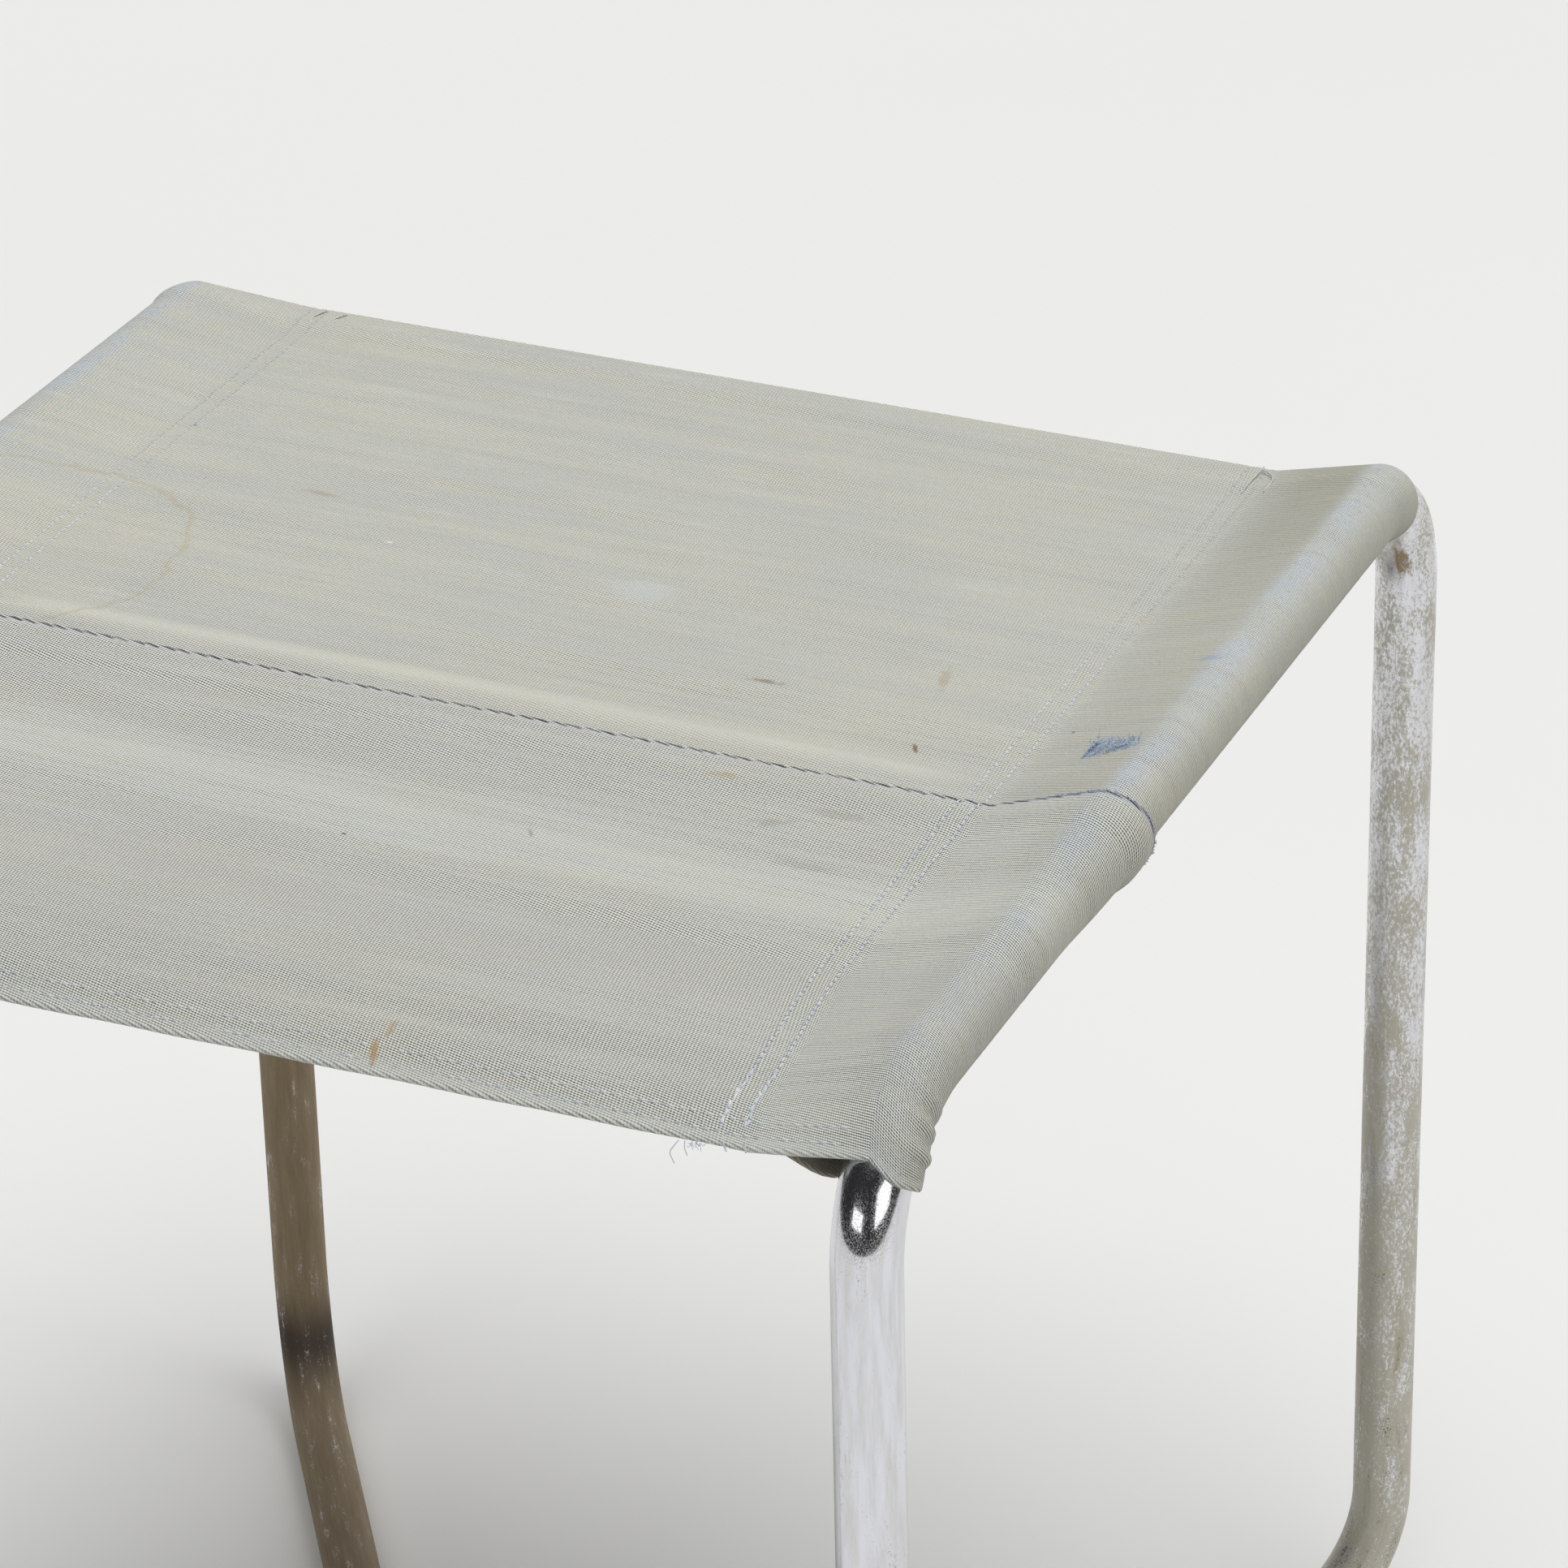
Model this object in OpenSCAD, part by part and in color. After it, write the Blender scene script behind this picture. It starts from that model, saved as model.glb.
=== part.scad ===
// Low stool: a closed loop of bent steel tube with a sling seat of two lapped cloth strips.
// The tube runs rail, leg, floor runner, leg, rail and so on round the stool. It is made in two
// identical halves that plug together in the middle of each rail, inside the cloth sleeves.
// Millimetres. X runs across the seat, Y from the front to the rear, Z up from the floor.

/* [Frame tube] */
// Outside diameter of the bent tube
tube_d = 20; // [19:0.5:21]
// Wall thickness of the bent tube
tube_wall = 1.5; // [1.2:0.1:1.8]
// Distance between the two rails, axis to axis
rail_spacing = 426; // [400:2:450]
// Distance between the front and rear legs, axis to axis
leg_depth = 456; // [444:2:470]
// Height of the cloth over a rail, above the floor
seat_h = 465; // [420:5:500]
// Radius of the bend between rail and leg, at the tube's axis
top_bend_r = 43; // [41:1:46]
// Radius of the bend between leg and runner, at the tube's axis
foot_bend_r = 49; // [42:1:55]

/* [Floor runners] */
// Angle between a runner and the line across the stool, where the runner leaves its leg
runner_angle = 56.18; // [54:0.02:58]
// Clear gap between the two runners at the middle of the base
runner_gap = 4; // [3:0.5:8]

/* [Rail plugs] */
// Length of the plug that joins the two halves of a rail
plug_l = 70; // [60:5:100]
// Wall thickness of the plug
plug_wall = 2.5; // [2:0.5:4]
// Distance from the middle of the rail to each plug screw
plug_screw_y = 22; // [15:1:25]
// Thread diameter of the plug screws
plug_screw_d = 4; // [3:0.5:5]

/* [Runner tie] */
// Diameter of the bolt that ties the two runners together
tie_d = 6; // [5:0.5:6]
// Width of the saddle block between the runners
saddle_w = 18; // [14:1:24]
// Height of the saddle block
saddle_h = 12; // [10:1:14]

/* [Seat cloth] */
// Thickness of one layer of cloth
cloth_t = 1; // [0.8:0.1:1.2]
// How far the seat lies below the cloth over the rails
seat_drop = 9.2; // [8:0.2:10.4]
// Distance from a rail's axis to the inner row that sews the sleeve shut
sleeve_depth = 45; // [40:1:55]
// Distance of the front strip's lapped edge in front of the middle
lap_edge = 46; // [35:1:60]
// How far the front strip laps over the rear strip
lap_w = 27; // [20:1:32]
// Width of the folded hems
hem_w = 13; // [10:1:14]
// How far the front sleeve ends reach round their bends, in degrees
front_wrap = 51; // [45:1:53]
// How far the rear sleeve ends reach round their bends, in degrees
rear_wrap = 20.5; // [19.5:0.5:24]
// How far the seat's front edge reaches past the start of the front bends
front_reach = 47; // [42:1:49]
// How far the seat's front edge drops
front_fall = 12; // [8:1:14]

/* [Stitching] */
// Width of a row of thread
thread_w = 0.8; // [0.5:0.1:1.2]
// Height of a row of thread on the cloth
thread_h = 0.3; // [0.3:0.1:0.6]
// Distance between the two rows that sew a sleeve shut
row_gap = 7; // [5:0.5:9]
// Distance of the hem rows from the inner edge of the hem
row_inset = 1; // [0.8:0.1:2]

/* [Hidden] */
$fn = 96;

chrome = [0.74, 0.74, 0.72];
zinc = [0.60, 0.60, 0.58];
cloth = [0.72, 0.72, 0.66];
cloth_top = [0.75, 0.75, 0.69];
thread = [0.70, 0.76, 0.84];

cut = 1;                                    // how far a cutter runs past the surface it opens
tube_r = tube_d / 2;
bore_r = tube_r - tube_wall;
rail_x = rail_spacing / 2;
leg_y = leg_depth / 2;
bend_y = leg_y - top_bend_r;                // where a rail starts to bend down
sleeve_gap = 0.2;                           // between a rail and its sleeve
layer_gap = 0.15;                           // between two layers of cloth
layer = cloth_t + layer_gap;
rail_z = seat_h - cloth_t - sleeve_gap - tube_r;
bend_z = rail_z - top_bend_r;               // height of the top bends' centres
half_joint = 0.1;                           // half the hairline between the frame's two halves

foot_z = tube_r + foot_bend_r;               // height where a leg starts to bend

// The middle of a runner is a wide arc, tangent to the straight that leaves each leg.
function hundredths(x) = round(x * 100) / 100;
runner_y = tube_r + runner_gap / 2;
arc_r = hundredths((runner_y + rail_x * tan(runner_angle) - leg_y)
    / (tan(runner_angle) * sin(runner_angle) - 1 + cos(runner_angle)));
straight_l = hundredths((rail_x - arc_r * sin(runner_angle)) / cos(runner_angle)
    - foot_bend_r);
arc_spare = 2;                              // degrees that half an arc runs past the middle

plug_gap = 0.1;                             // between a plug and the tube's bore
plug_r = bore_r - plug_gap;
screw_gap = 0.1;                            // round the plug screws
screw_head_r = plug_screw_d;
screw_head_h = plug_screw_d / 2;
screw_top = sqrt(tube_r * tube_r - screw_head_r * screw_head_r) - 0.1;  // head inside the tube
tie_gap = 0.2;                              // round the tie bolt
tie_head_r = 5.5;
tie_head_h = 3.5;
tie_nut_r = 5.6;
tie_nut_h = 5;
tie_seat = tube_r + runner_y + 0.3;         // where the bolt's head and nut bear on the tubes
saddle_gap = 0.1;

// ---------------------------------------------------------------- frame tube

// Straight tube of radius r along +Z.
module rod(r, l) {
    cylinder(r = r, h = l);
}

// A bend that starts at the origin heading down and turns towards -X by 90 degrees.
module down_bend(r, bend_r) {
    translate([-bend_r, 0, 0])
        rotate([-90, 0, 0])
            rotate_extrude(angle = 90)
                translate([bend_r, 0])
                    circle(r = r);
}

// Right half of the rear tube's path as a solid of radius r: half rail, leg and half runner.
module right_path(r, end_cut) {
    translate([rail_x, half_joint - end_cut, rail_z])
        rotate([-90, 0, 0])
            rod(r, bend_y - half_joint + end_cut);
    translate([rail_x, leg_y, bend_z]) {
        rotate([0, 0, 90])
            mirror([0, 0, 1])
                down_bend(r, top_bend_r);
        translate([0, 0, foot_z - bend_z])
            rod(r, bend_z - foot_z);
    }
    translate([rail_x, leg_y, foot_z])
        rotate([0, 0, runner_angle]) {
            down_bend(r, foot_bend_r);
            translate([-foot_bend_r, 0, -foot_bend_r]) {
                rotate([0, -90, 0])
                    rod(r, straight_l);
                translate([-straight_l, arc_r, 0])
                    runner_arc(r);
            }
        }
}

// Right half of the runner's wide arc, from its straight to just past the middle.
module runner_arc(r) {
    mirror([1, 0, 0])
        rotate([0, 0, -90])
            rotate_extrude(angle = runner_angle + arc_spare)
                translate([arc_r, 0])
                    circle(r = r);
}

// A countersunk screw under the rail at y = plug_screw_y, grown all round by a gap. The space
// below its head is opened too where it is used as a cutter.
module screw_shape(grow, below) {
    head = screw_head_r + grow;
    shank = plug_screw_d / 2 + grow;
    tip = screw_top - plug_r + plug_wall + grow;
    foot = below > 0 ? [[0, -below], [head, -below]] : [[0, 0]];
    translate([0, plug_screw_y, rail_z - screw_top])
        rotate_extrude()
            polygon(concat(foot, [[head, 0], [shank, screw_head_h], [shank, tip], [0, tip]]));
}

module tie_hole() {
    translate([0, 0, tube_r])
        rotate([-90, 0, 0])
            cylinder(r = tie_d / 2 + tie_gap, h = 2 * tube_r + runner_y + cut);
}

// Right half of the rear tube, cut off at the middle of the runner.
module right_tube() {
    difference() {
        right_path(tube_r, 0);
        right_path(bore_r, cut);
        translate([rail_x, 0, 0])
            screw_shape(screw_gap, tube_d);
        translate([-tube_d, 0, -cut])
            cube([tube_d, leg_y, tube_d + 2 * cut]);
    }
}

module rear_half_frame() {
    difference() {
        union() {
            right_tube();
            mirror([1, 0, 0])
                right_tube();
        }
        tie_hole();
    }
}

module rear_frame_tube() {
    color(chrome) rear_half_frame();
}

module front_frame_tube() {
    color(chrome) mirror([0, 1, 0]) rear_half_frame();
}

// ---------------------------------------------------------------- rail plugs and runner tie

module rail_plug(side) {
    translate([side * rail_x, 0, 0])
        difference() {
            translate([0, -plug_l / 2, rail_z])
                rotate([-90, 0, 0])
                    rod(plug_r, plug_l);
            translate([0, -plug_l / 2 - cut, rail_z])
                rotate([-90, 0, 0])
                    rod(plug_r - plug_wall, plug_l + 2 * cut);
            screw_shape(screw_gap, tube_d);
            mirror([0, 1, 0])
                screw_shape(screw_gap, tube_d);
        }
}

module left_rail_plug() {
    color(zinc) rail_plug(-1);
}

module right_rail_plug() {
    color(zinc) rail_plug(1);
}

module rail_plug_screws() {
    color(zinc)
        for (side = [-1, 1], end = [0, 1])
            translate([side * rail_x, 0, 0])
                mirror([0, end, 0])
                    screw_shape(0, 0);
}

// Round-headed bolt through both runners and the saddle, head at the front.
module runner_tie_bolt() {
    color(zinc)
        translate([0, -tie_seat, tube_r])
            rotate([-90, 0, 0]) {
                cylinder(r = tie_d / 2, h = 2 * tie_seat + tie_nut_h + 1);
                translate([0, 0, -tie_head_h])
                    cylinder(r1 = tie_head_r - 1.5, r2 = tie_head_r, h = tie_head_h);
            }
}

module runner_tie_nut() {
    color(zinc)
        translate([0, tie_seat, tube_r])
            rotate([-90, 0, 0])
                difference() {
                    cylinder(r = tie_nut_r, h = tie_nut_h, $fn = 6);
                    translate([0, 0, -cut])
                        cylinder(r = tie_d / 2 + screw_gap, h = tie_nut_h + 2 * cut);
                }
}

// Block between the runners, hollowed on both faces to fit the tubes.
module runner_saddle() {
    color(zinc)
        difference() {
            translate([-saddle_w / 2, -runner_y, tube_r - saddle_h / 2])
                cube([saddle_w, 2 * runner_y, saddle_h]);
            for (side = [-1, 1])
                translate([-saddle_w, side * runner_y, tube_r])
                    rotate([0, 90, 0])
                        rod(tube_r + saddle_gap, 2 * saddle_w);
            translate([0, -runner_y - cut, tube_r])
                rotate([-90, 0, 0])
                    cylinder(r = tie_d / 2 + tie_gap, h = 2 * (runner_y + cut));
        }
}

// ---------------------------------------------------------------- seat cloth
// A strip of cloth is a grid of points: stations along the strip's edge-to-edge direction (Y),
// and places across it, from the end of the left sleeve round both rails to the right one.

ring_r = tube_r + sleeve_gap + cloth_t / 2; // middle of the cloth round a rail
seat_z = seat_h - seat_drop - cloth_t / 2;  // middle of the cloth between the sleeves
join_x = rail_x - sleeve_depth + row_gap + 2;   // where a sleeve's two layers meet
sleeve_end_x = rail_x - sleeve_depth - 5;   // end of the sleeve's under layer
ring_steps = 14;                            // facets of the cloth round a rail
hem_edge = 0.25;                            // run of the step up to a hem
front_r = (front_reach * front_reach + front_fall * front_fall) / (2 * front_fall);
rear_edge_y = bend_y + (top_bend_r + tube_r + sleeve_gap + cloth_t) * sin(rear_wrap);
front_edge_y = -bend_y - front_reach;

// A station: [y, z, tilt] of the sleeve's ring, [y, z, tilt] of the seat, lift and hem.
function flat_station(y, lift, hem) = [[y, rail_z, 0], [y, seat_z, 0], lift, hem];

function front_station(y, hem) =
    let (v = (-bend_y - y) / front_reach,
         turn = -front_wrap * v,
         tilt = -asin(v * front_reach / front_r))
    [[-bend_y + top_bend_r * sin(turn), bend_z + top_bend_r * cos(turn), turn],
     [y, seat_z - front_r * (1 - cos(tilt)), tilt], 0, hem];

function rear_station(y, hem) =
    let (turn = rear_wrap * (y - bend_y) / (rear_edge_y - bend_y))
    [[bend_y + top_bend_r * sin(turn), bend_z + top_bend_r * cos(turn), turn],
     [y, seat_z, 0], 0, hem];

// Hem doubles the cloth outwards; lift carries the front strip over the rear one at the lap.
front_stations = concat(
    [flat_station(-lap_edge, layer, 1),
     flat_station(-lap_edge - hem_w, layer, 1),
     flat_station(-lap_edge - hem_w - hem_edge, layer, 0),
     flat_station(-lap_edge - lap_w - 1, layer, 0),
     flat_station(-lap_edge - lap_w - 6, 0, 0)],
    [for (k = [0 : 6]) front_station(-bend_y - k * (front_reach - hem_w - hem_edge) / 6, 0)],
    [for (k = [0 : 3]) front_station(front_edge_y + hem_w * (1 - k / 3), 1)]);

rear_stations = concat(
    [for (k = [0 : 2]) rear_station(rear_edge_y - k * hem_w / 2, 1)],
    [rear_station(rear_edge_y - hem_w - hem_edge, 0),
     flat_station(bend_y, 0, 0),
     flat_station(-lap_edge - lap_w, 0, 0)]);

// Places across a strip: [0, x] on the seat, [1, side, share] round a rail, [2, side, x] under.
across_strip = concat(
    [[2, -1, sleeve_end_x], [2, -1, join_x]],
    [for (k = [ring_steps : -1 : 0]) [1, -1, k / ring_steps]],
    [for (x = [-1 : 0.5 : 1]) [0, x * join_x]],
    [for (k = [0 : ring_steps]) [1, 1, k / ring_steps]],
    [[2, 1, join_x], [2, 1, sleeve_end_x]]);

// Height of the seat above a ring's centre, in the ring's own plane.
function rise(st) =
    (st[1][0] - st[0][0]) * sin(st[0][2]) + (st[1][1] - st[0][1]) * cos(st[0][2]);

// Angle round a rail where cloth pulled to a place at (reach, height) leaves it.
function leave(r, reach, height) = acos(r / norm([reach, height])) + atan2(height, reach);

function ring_point(st, side, share, off) =
    let (reach = rail_x - join_x,
         r = ring_r + st[2],
         a = leave(r, reach, rise(st) + st[2]),
         b = 360 - leave(r, reach, -rise(st) + layer + st[2]),
         angle = a + (b - a) * share,
         out = (r + off) * sin(angle))
    [side * (rail_x - (r + off) * cos(angle)),
     st[0][0] + out * sin(st[0][2]), st[0][1] + out * cos(st[0][2])];

function seat_point(st, x, off) =
    [x, st[1][0] + (st[2] + off) * sin(st[1][2]), st[1][1] + (st[2] + off) * cos(st[1][2])];

function cloth_point(st, place, off) =
    place[0] == 1 ? ring_point(st, place[1], place[2], off)
    : place[0] == 0 ? seat_point(st, place[1], off)
    : seat_point(st, place[1] * place[2], -layer - 2 * st[2] - off);

// Closed sheet between two offsets from the cloth's middle, over stations and places.
module sheet(stations, places, low, high) {
    n = len(stations);
    m = len(places);
    function low_off(st) = low + (low > 0 ? st[3] * cloth_t : 0);
    function high_off(st) = high + st[3] * cloth_t;
    function at(level, i, j) = level * n * m + i * m + j;
    function quad(a, b, c, d) = [[a, b, c], [a, c, d]];
    points = concat(
        [for (st = stations, p = places) cloth_point(st, p, low_off(st))],
        [for (st = stations, p = places) cloth_point(st, p, high_off(st))]);
    faces = [for (part = concat(
        [for (i = [0 : n - 2], j = [0 : m - 2])
            quad(at(1, i, j), at(1, i, j + 1), at(1, i + 1, j + 1), at(1, i + 1, j))],
        [for (i = [0 : n - 2], j = [0 : m - 2])
            quad(at(0, i, j), at(0, i + 1, j), at(0, i + 1, j + 1), at(0, i, j + 1))],
        [for (i = [0 : n - 2])
            quad(at(0, i, 0), at(1, i, 0), at(1, i + 1, 0), at(0, i + 1, 0))],
        [for (i = [0 : n - 2])
            quad(at(0, i + 1, m - 1), at(1, i + 1, m - 1), at(1, i, m - 1), at(0, i, m - 1))],
        [for (j = [0 : m - 2])
            quad(at(0, 0, j + 1), at(1, 0, j + 1), at(1, 0, j), at(0, 0, j))],
        [for (j = [0 : m - 2])
            quad(at(0, n - 1, j), at(1, n - 1, j), at(1, n - 1, j + 1), at(0, n - 1, j + 1))]))
        each part];
    polyhedron(points = points, faces = faces);
}

module strip(stations) {
    sheet(stations, across_strip, -cloth_t / 2, cloth_t / 2);
}

module front_seat_strip() {
    color(cloth_top) strip(front_stations);
}

module rear_seat_strip() {
    color(cloth) strip(rear_stations);
}

// ---------------------------------------------------------------- stitching
// Each row is one thread that lies on the cloth.

thread_gap = 0.15;                          // between a thread and what it lies on
long_low = cloth_t / 2 + thread_gap;
cross_low = long_low + thread_h + thread_gap;   // cross rows pass over the long ones
top_only = [for (p = across_strip) if (p[0] != 2) p];

// Rows that run from the front edge to the rear edge, at the given places across a strip.
module long_row(places) {
    sheet(front_stations, places, long_low, long_low + thread_h);
    shown = [for (st = rear_stations) if (st[1][0] > -lap_edge) st];
    sheet(concat(shown, [flat_station(thread_w - lap_edge, 0, 0)]), places,
        long_low, long_low + thread_h);
}

function row_places(x) = [[0, x - thread_w / 2], [0, x + thread_w / 2]];

module sleeve_rows(side) {
    for (k = [0, 1])
        long_row(row_places(side * (rail_x - sleeve_depth + k * row_gap)));
}

module left_sleeve_stitching() {
    color(thread) sleeve_rows(-1);
}

module right_sleeve_stitching() {
    color(thread) sleeve_rows(1);
}

// A single row beside the left rail, on the cloth just before it leaves the tube.
module left_rail_stitching() {
    color(thread)
        long_row([[1, -1, 0.02], [1, -1, 0]]);
}

module cross_row(a, b) {
    sheet([a, b], top_only, cross_low, cross_low + thread_h);
}

module lap_seam_stitching() {
    row_y = -lap_edge - 3;
    color(thread)
        cross_row(flat_station(row_y + thread_w / 2, layer, 1),
            flat_station(row_y - thread_w / 2, layer, 1));
}

module front_hem_stitching() {
    row_y = front_edge_y + hem_w - row_inset;
    color(thread)
        cross_row(front_station(row_y + thread_w / 2, 1), front_station(row_y - thread_w / 2, 1));
}

module rear_hem_stitching() {
    row_y = rear_edge_y - hem_w + row_inset;
    color(thread)
        cross_row(rear_station(row_y + thread_w / 2, 1), rear_station(row_y - thread_w / 2, 1));
}

front_frame_tube();
rear_frame_tube();
left_rail_plug();
right_rail_plug();
rail_plug_screws();
runner_tie_bolt();
runner_tie_nut();
runner_saddle();
front_seat_strip();
rear_seat_strip();
left_sleeve_stitching();
right_sleeve_stitching();
left_rail_stitching();
lap_seam_stitching();
front_hem_stitching();
rear_hem_stitching();
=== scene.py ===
import math

import bpy
import numpy as np
from mathutils import Matrix, Vector


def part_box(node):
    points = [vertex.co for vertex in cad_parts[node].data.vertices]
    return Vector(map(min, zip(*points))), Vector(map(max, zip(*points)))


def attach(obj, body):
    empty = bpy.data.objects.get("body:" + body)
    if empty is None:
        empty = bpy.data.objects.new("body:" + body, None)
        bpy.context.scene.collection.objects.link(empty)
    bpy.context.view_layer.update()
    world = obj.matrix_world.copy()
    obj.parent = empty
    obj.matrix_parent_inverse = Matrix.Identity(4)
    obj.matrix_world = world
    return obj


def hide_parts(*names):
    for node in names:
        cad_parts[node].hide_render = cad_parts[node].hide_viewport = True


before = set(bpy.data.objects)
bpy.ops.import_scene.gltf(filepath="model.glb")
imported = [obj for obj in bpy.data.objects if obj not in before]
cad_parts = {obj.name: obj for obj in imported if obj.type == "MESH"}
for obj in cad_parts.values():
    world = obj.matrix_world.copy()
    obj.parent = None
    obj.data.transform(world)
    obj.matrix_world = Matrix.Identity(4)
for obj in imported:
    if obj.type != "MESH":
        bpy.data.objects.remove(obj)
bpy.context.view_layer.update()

MM = 0.001
TAU = 2 * math.pi

# ---------------- sizes, from the frame

tube_low, tube_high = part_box("rear_frame_tube")
TUBE_R = 10 * MM
BORE_R = 8.5 * MM
TUBE_SIDES = 56
RAIL_X = tube_high.x - TUBE_R
LEG_Y = tube_high.y - TUBE_R
RAIL_Z = tube_high.z - TUBE_R
HALF_JOINT = tube_low.y
TOP_BEND_R = 43 * MM
FOOT_BEND_R = 49 * MM
BEND_Y = LEG_Y - TOP_BEND_R
BEND_Z = RAIL_Z - TOP_BEND_R
FOOT_Z = TUBE_R + FOOT_BEND_R
RUNNER_ANGLE = math.radians(56.18)
RUNNER_Y = TUBE_R + 2 * MM
RUNNER_ARC_R = (
    RUNNER_Y + RAIL_X * math.tan(RUNNER_ANGLE) - LEG_Y
) / (math.tan(RUNNER_ANGLE) * math.sin(RUNNER_ANGLE) - 1 + math.cos(RUNNER_ANGLE))
RUNNER_STRAIGHT = (
    RAIL_X - RUNNER_ARC_R * math.sin(RUNNER_ANGLE)
) / math.cos(RUNNER_ANGLE) - FOOT_BEND_R

CLOTH_T = 1.0 * MM
LAYER = 1.15 * MM                           # from one layer's middle to the next one's
RING_R = TUBE_R + 0.2 * MM + CLOTH_T / 2    # middle of the cloth round a rail
SEAT_Z = RAIL_Z + TUBE_R + 0.2 * MM + CLOTH_T / 2 - 9.2 * MM
JOIN_X = RAIL_X - 36 * MM                   # where a sleeve's two layers meet
SLEEVE_END_X = RAIL_X - 50 * MM             # end of the sleeve's under layer
SEWN_X = (RAIL_X - 45.4 * MM, RAIL_X - 39.2 * MM)   # the two rows that sew a sleeve shut
LAP_EDGE = -46 * MM
RIDGE_Y = LAP_EDGE + 14 * MM                # the worn ridge behind the lap
LAP_W = 27 * MM
HEM_W = 13 * MM
FRONT_WRAP = math.radians(49.5)
FRONT_DROOP = 0.15                          # how much further it wraps outside the right rail
REAR_WRAP = math.radians(20.5)
FRONT_REACH = 47 * MM
FRONT_FALL = 12.6 * MM
FRONT_R = (FRONT_REACH**2 + FRONT_FALL**2) / (2 * FRONT_FALL)
FRONT_EDGE = -BEND_Y - FRONT_REACH
REAR_EDGE = BEND_Y + (TOP_BEND_R + RING_R + CLOTH_T / 2) * math.sin(REAR_WRAP)
BURN_Z = 31 * MM                            # height of the burnt band on the left rear leg
FOLD_R = LAYER / 2                          # radius of a folded edge, at the cloth's middle
STITCH = 2.8 * MM                           # length of one stitch and its gap
THREAD_SIDES = 6


def smoothstep(x, low, high):
    t = np.clip((np.asarray(x, float) - low) / (high - low), 0, 1)
    return t * t * (3 - 2 * t)


def bell(x, middle, width):
    return np.exp(-(((np.asarray(x, float) - middle) / width) ** 2))


def unit(vectors):
    return vectors / np.maximum(np.linalg.norm(vectors, axis=-1, keepdims=True), 1e-12)


def run_along(points):
    """How far along a line each of its points lies."""
    return np.concatenate([[0], np.cumsum(np.linalg.norm(np.diff(points, axis=0), axis=1))])


def add_object(name, data):
    made = bpy.data.objects.new(name, data)
    bpy.context.scene.collection.objects.link(made)
    return made


# ---------------- camera

def make_camera():
    camera = add_object("camera", bpy.data.cameras.new("camera"))
    right = Vector((0.91838, 0.39516, -0.02056))
    up = Vector((-0.16521, 0.43013, 0.88752))
    back = Vector((0.35955, -0.81168, 0.46031))
    place = Vector((781.1, -1557.6, 1307.5)) * MM
    turn = Matrix((right, up, back)).transposed().to_4x4()
    camera.matrix_world = Matrix.Translation(place) @ turn
    camera.data.lens = 145.88
    camera.data.sensor_width = 36
    camera.data.clip_end = 50
    bpy.context.scene.camera = camera


# ---------------- meshes

def new_piece(name, points, faces, material, slot, sharp=50):
    mesh = bpy.data.meshes.new(name)
    mesh.from_pydata([tuple(p) for p in points], [], [tuple(f) for f in faces])
    mesh.validate()
    mesh.polygons.foreach_set("use_smooth", [True] * len(mesh.polygons))
    mesh.set_sharp_from_angle(angle=math.radians(sharp))
    mesh.materials.append(material)
    piece = add_object(name, mesh)
    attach(piece, "root")
    return piece


def give(piece, name, values):
    """Stores one number or one vector for each point of a piece."""
    values = np.asarray(values, np.float32)
    kind, field = ("FLOAT", "value") if values.ndim == 1 else ("FLOAT_VECTOR", "vector")
    attribute = piece.data.attributes.new(name, kind, "POINT")
    attribute.data.foreach_set(field, values.ravel())


def grid_faces(rows, columns, start=0, closed=False, flip=False):
    faces = []
    for i in range(rows - 1):
        for j in range(columns if closed else columns - 1):
            k = (j + 1) % columns
            a, b = start + i * columns + j, start + i * columns + k
            c, d = start + (i + 1) * columns + k, start + (i + 1) * columns + j
            faces.append((d, c, b, a) if flip else (a, b, c, d))
    return faces


# ---------------- bent tubes

def walk(start, heading, moves, line_step, arc_step):
    """Points and headings along straight runs and bends. A bend is (radius, new heading)."""
    points, headings = [Vector(start)], [Vector(heading)]
    for size, toward in moves:
        at, heading = points[-1].copy(), headings[-1].copy()
        if toward is None:
            n = max(1, round(size / line_step))
            for k in range(1, n + 1):
                points.append(at + heading * (size * k / n))
                headings.append(heading)
            continue
        toward = Vector(toward)
        angle = heading.angle(toward)
        axis = heading.cross(toward).normalized()
        centre = at + axis.cross(heading) * size
        n = max(4, round(angle / arc_step))
        for k in range(1, n + 1):
            turn = Matrix.Rotation(angle * k / n, 3, axis)
            points.append(centre + turn @ (at - centre))
            headings.append(turn @ heading)
    return points, headings


def half_frame_path():
    """The rear half of the frame: right rail, leg, runner, left leg and left rail."""
    c, s = math.cos(RUNNER_ANGLE), math.sin(RUNNER_ANGLE)
    moves = [
        (BEND_Y - HALF_JOINT, None),
        (TOP_BEND_R, (0, 0, -1)),
        (BEND_Z - FOOT_Z, None),
        (FOOT_BEND_R, (-c, -s, 0)),
        (RUNNER_STRAIGHT, None),
        (RUNNER_ARC_R, (-1, 0, 0)),
    ]
    points, headings = walk(
        (RAIL_X, HALF_JOINT, RAIL_Z), (0, 1, 0), moves, 4 * MM, math.radians(3)
    )
    for p, h in list(zip(points, headings))[-2::-1]:
        points.append(Vector((-p.x, p.y, p.z)))
        headings.append(Vector((h.x, -h.y, -h.z)))
    return np.array(points), np.array(headings)


def rings(headings, first, count):
    """Directions all round each heading, carried along without twist, and their angles."""
    sides = [np.array(first, float)]
    for h in headings[1:]:
        sides.append(unit(sides[-1] - h * (sides[-1] @ h)))
    across = np.array(sides)
    other = np.cross(headings, across)
    angles = np.arange(count) / count * TAU
    ring = across[:, None] * np.cos(angles)[None, :, None]
    return ring + other[:, None] * np.sin(angles)[None, :, None], angles


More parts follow.
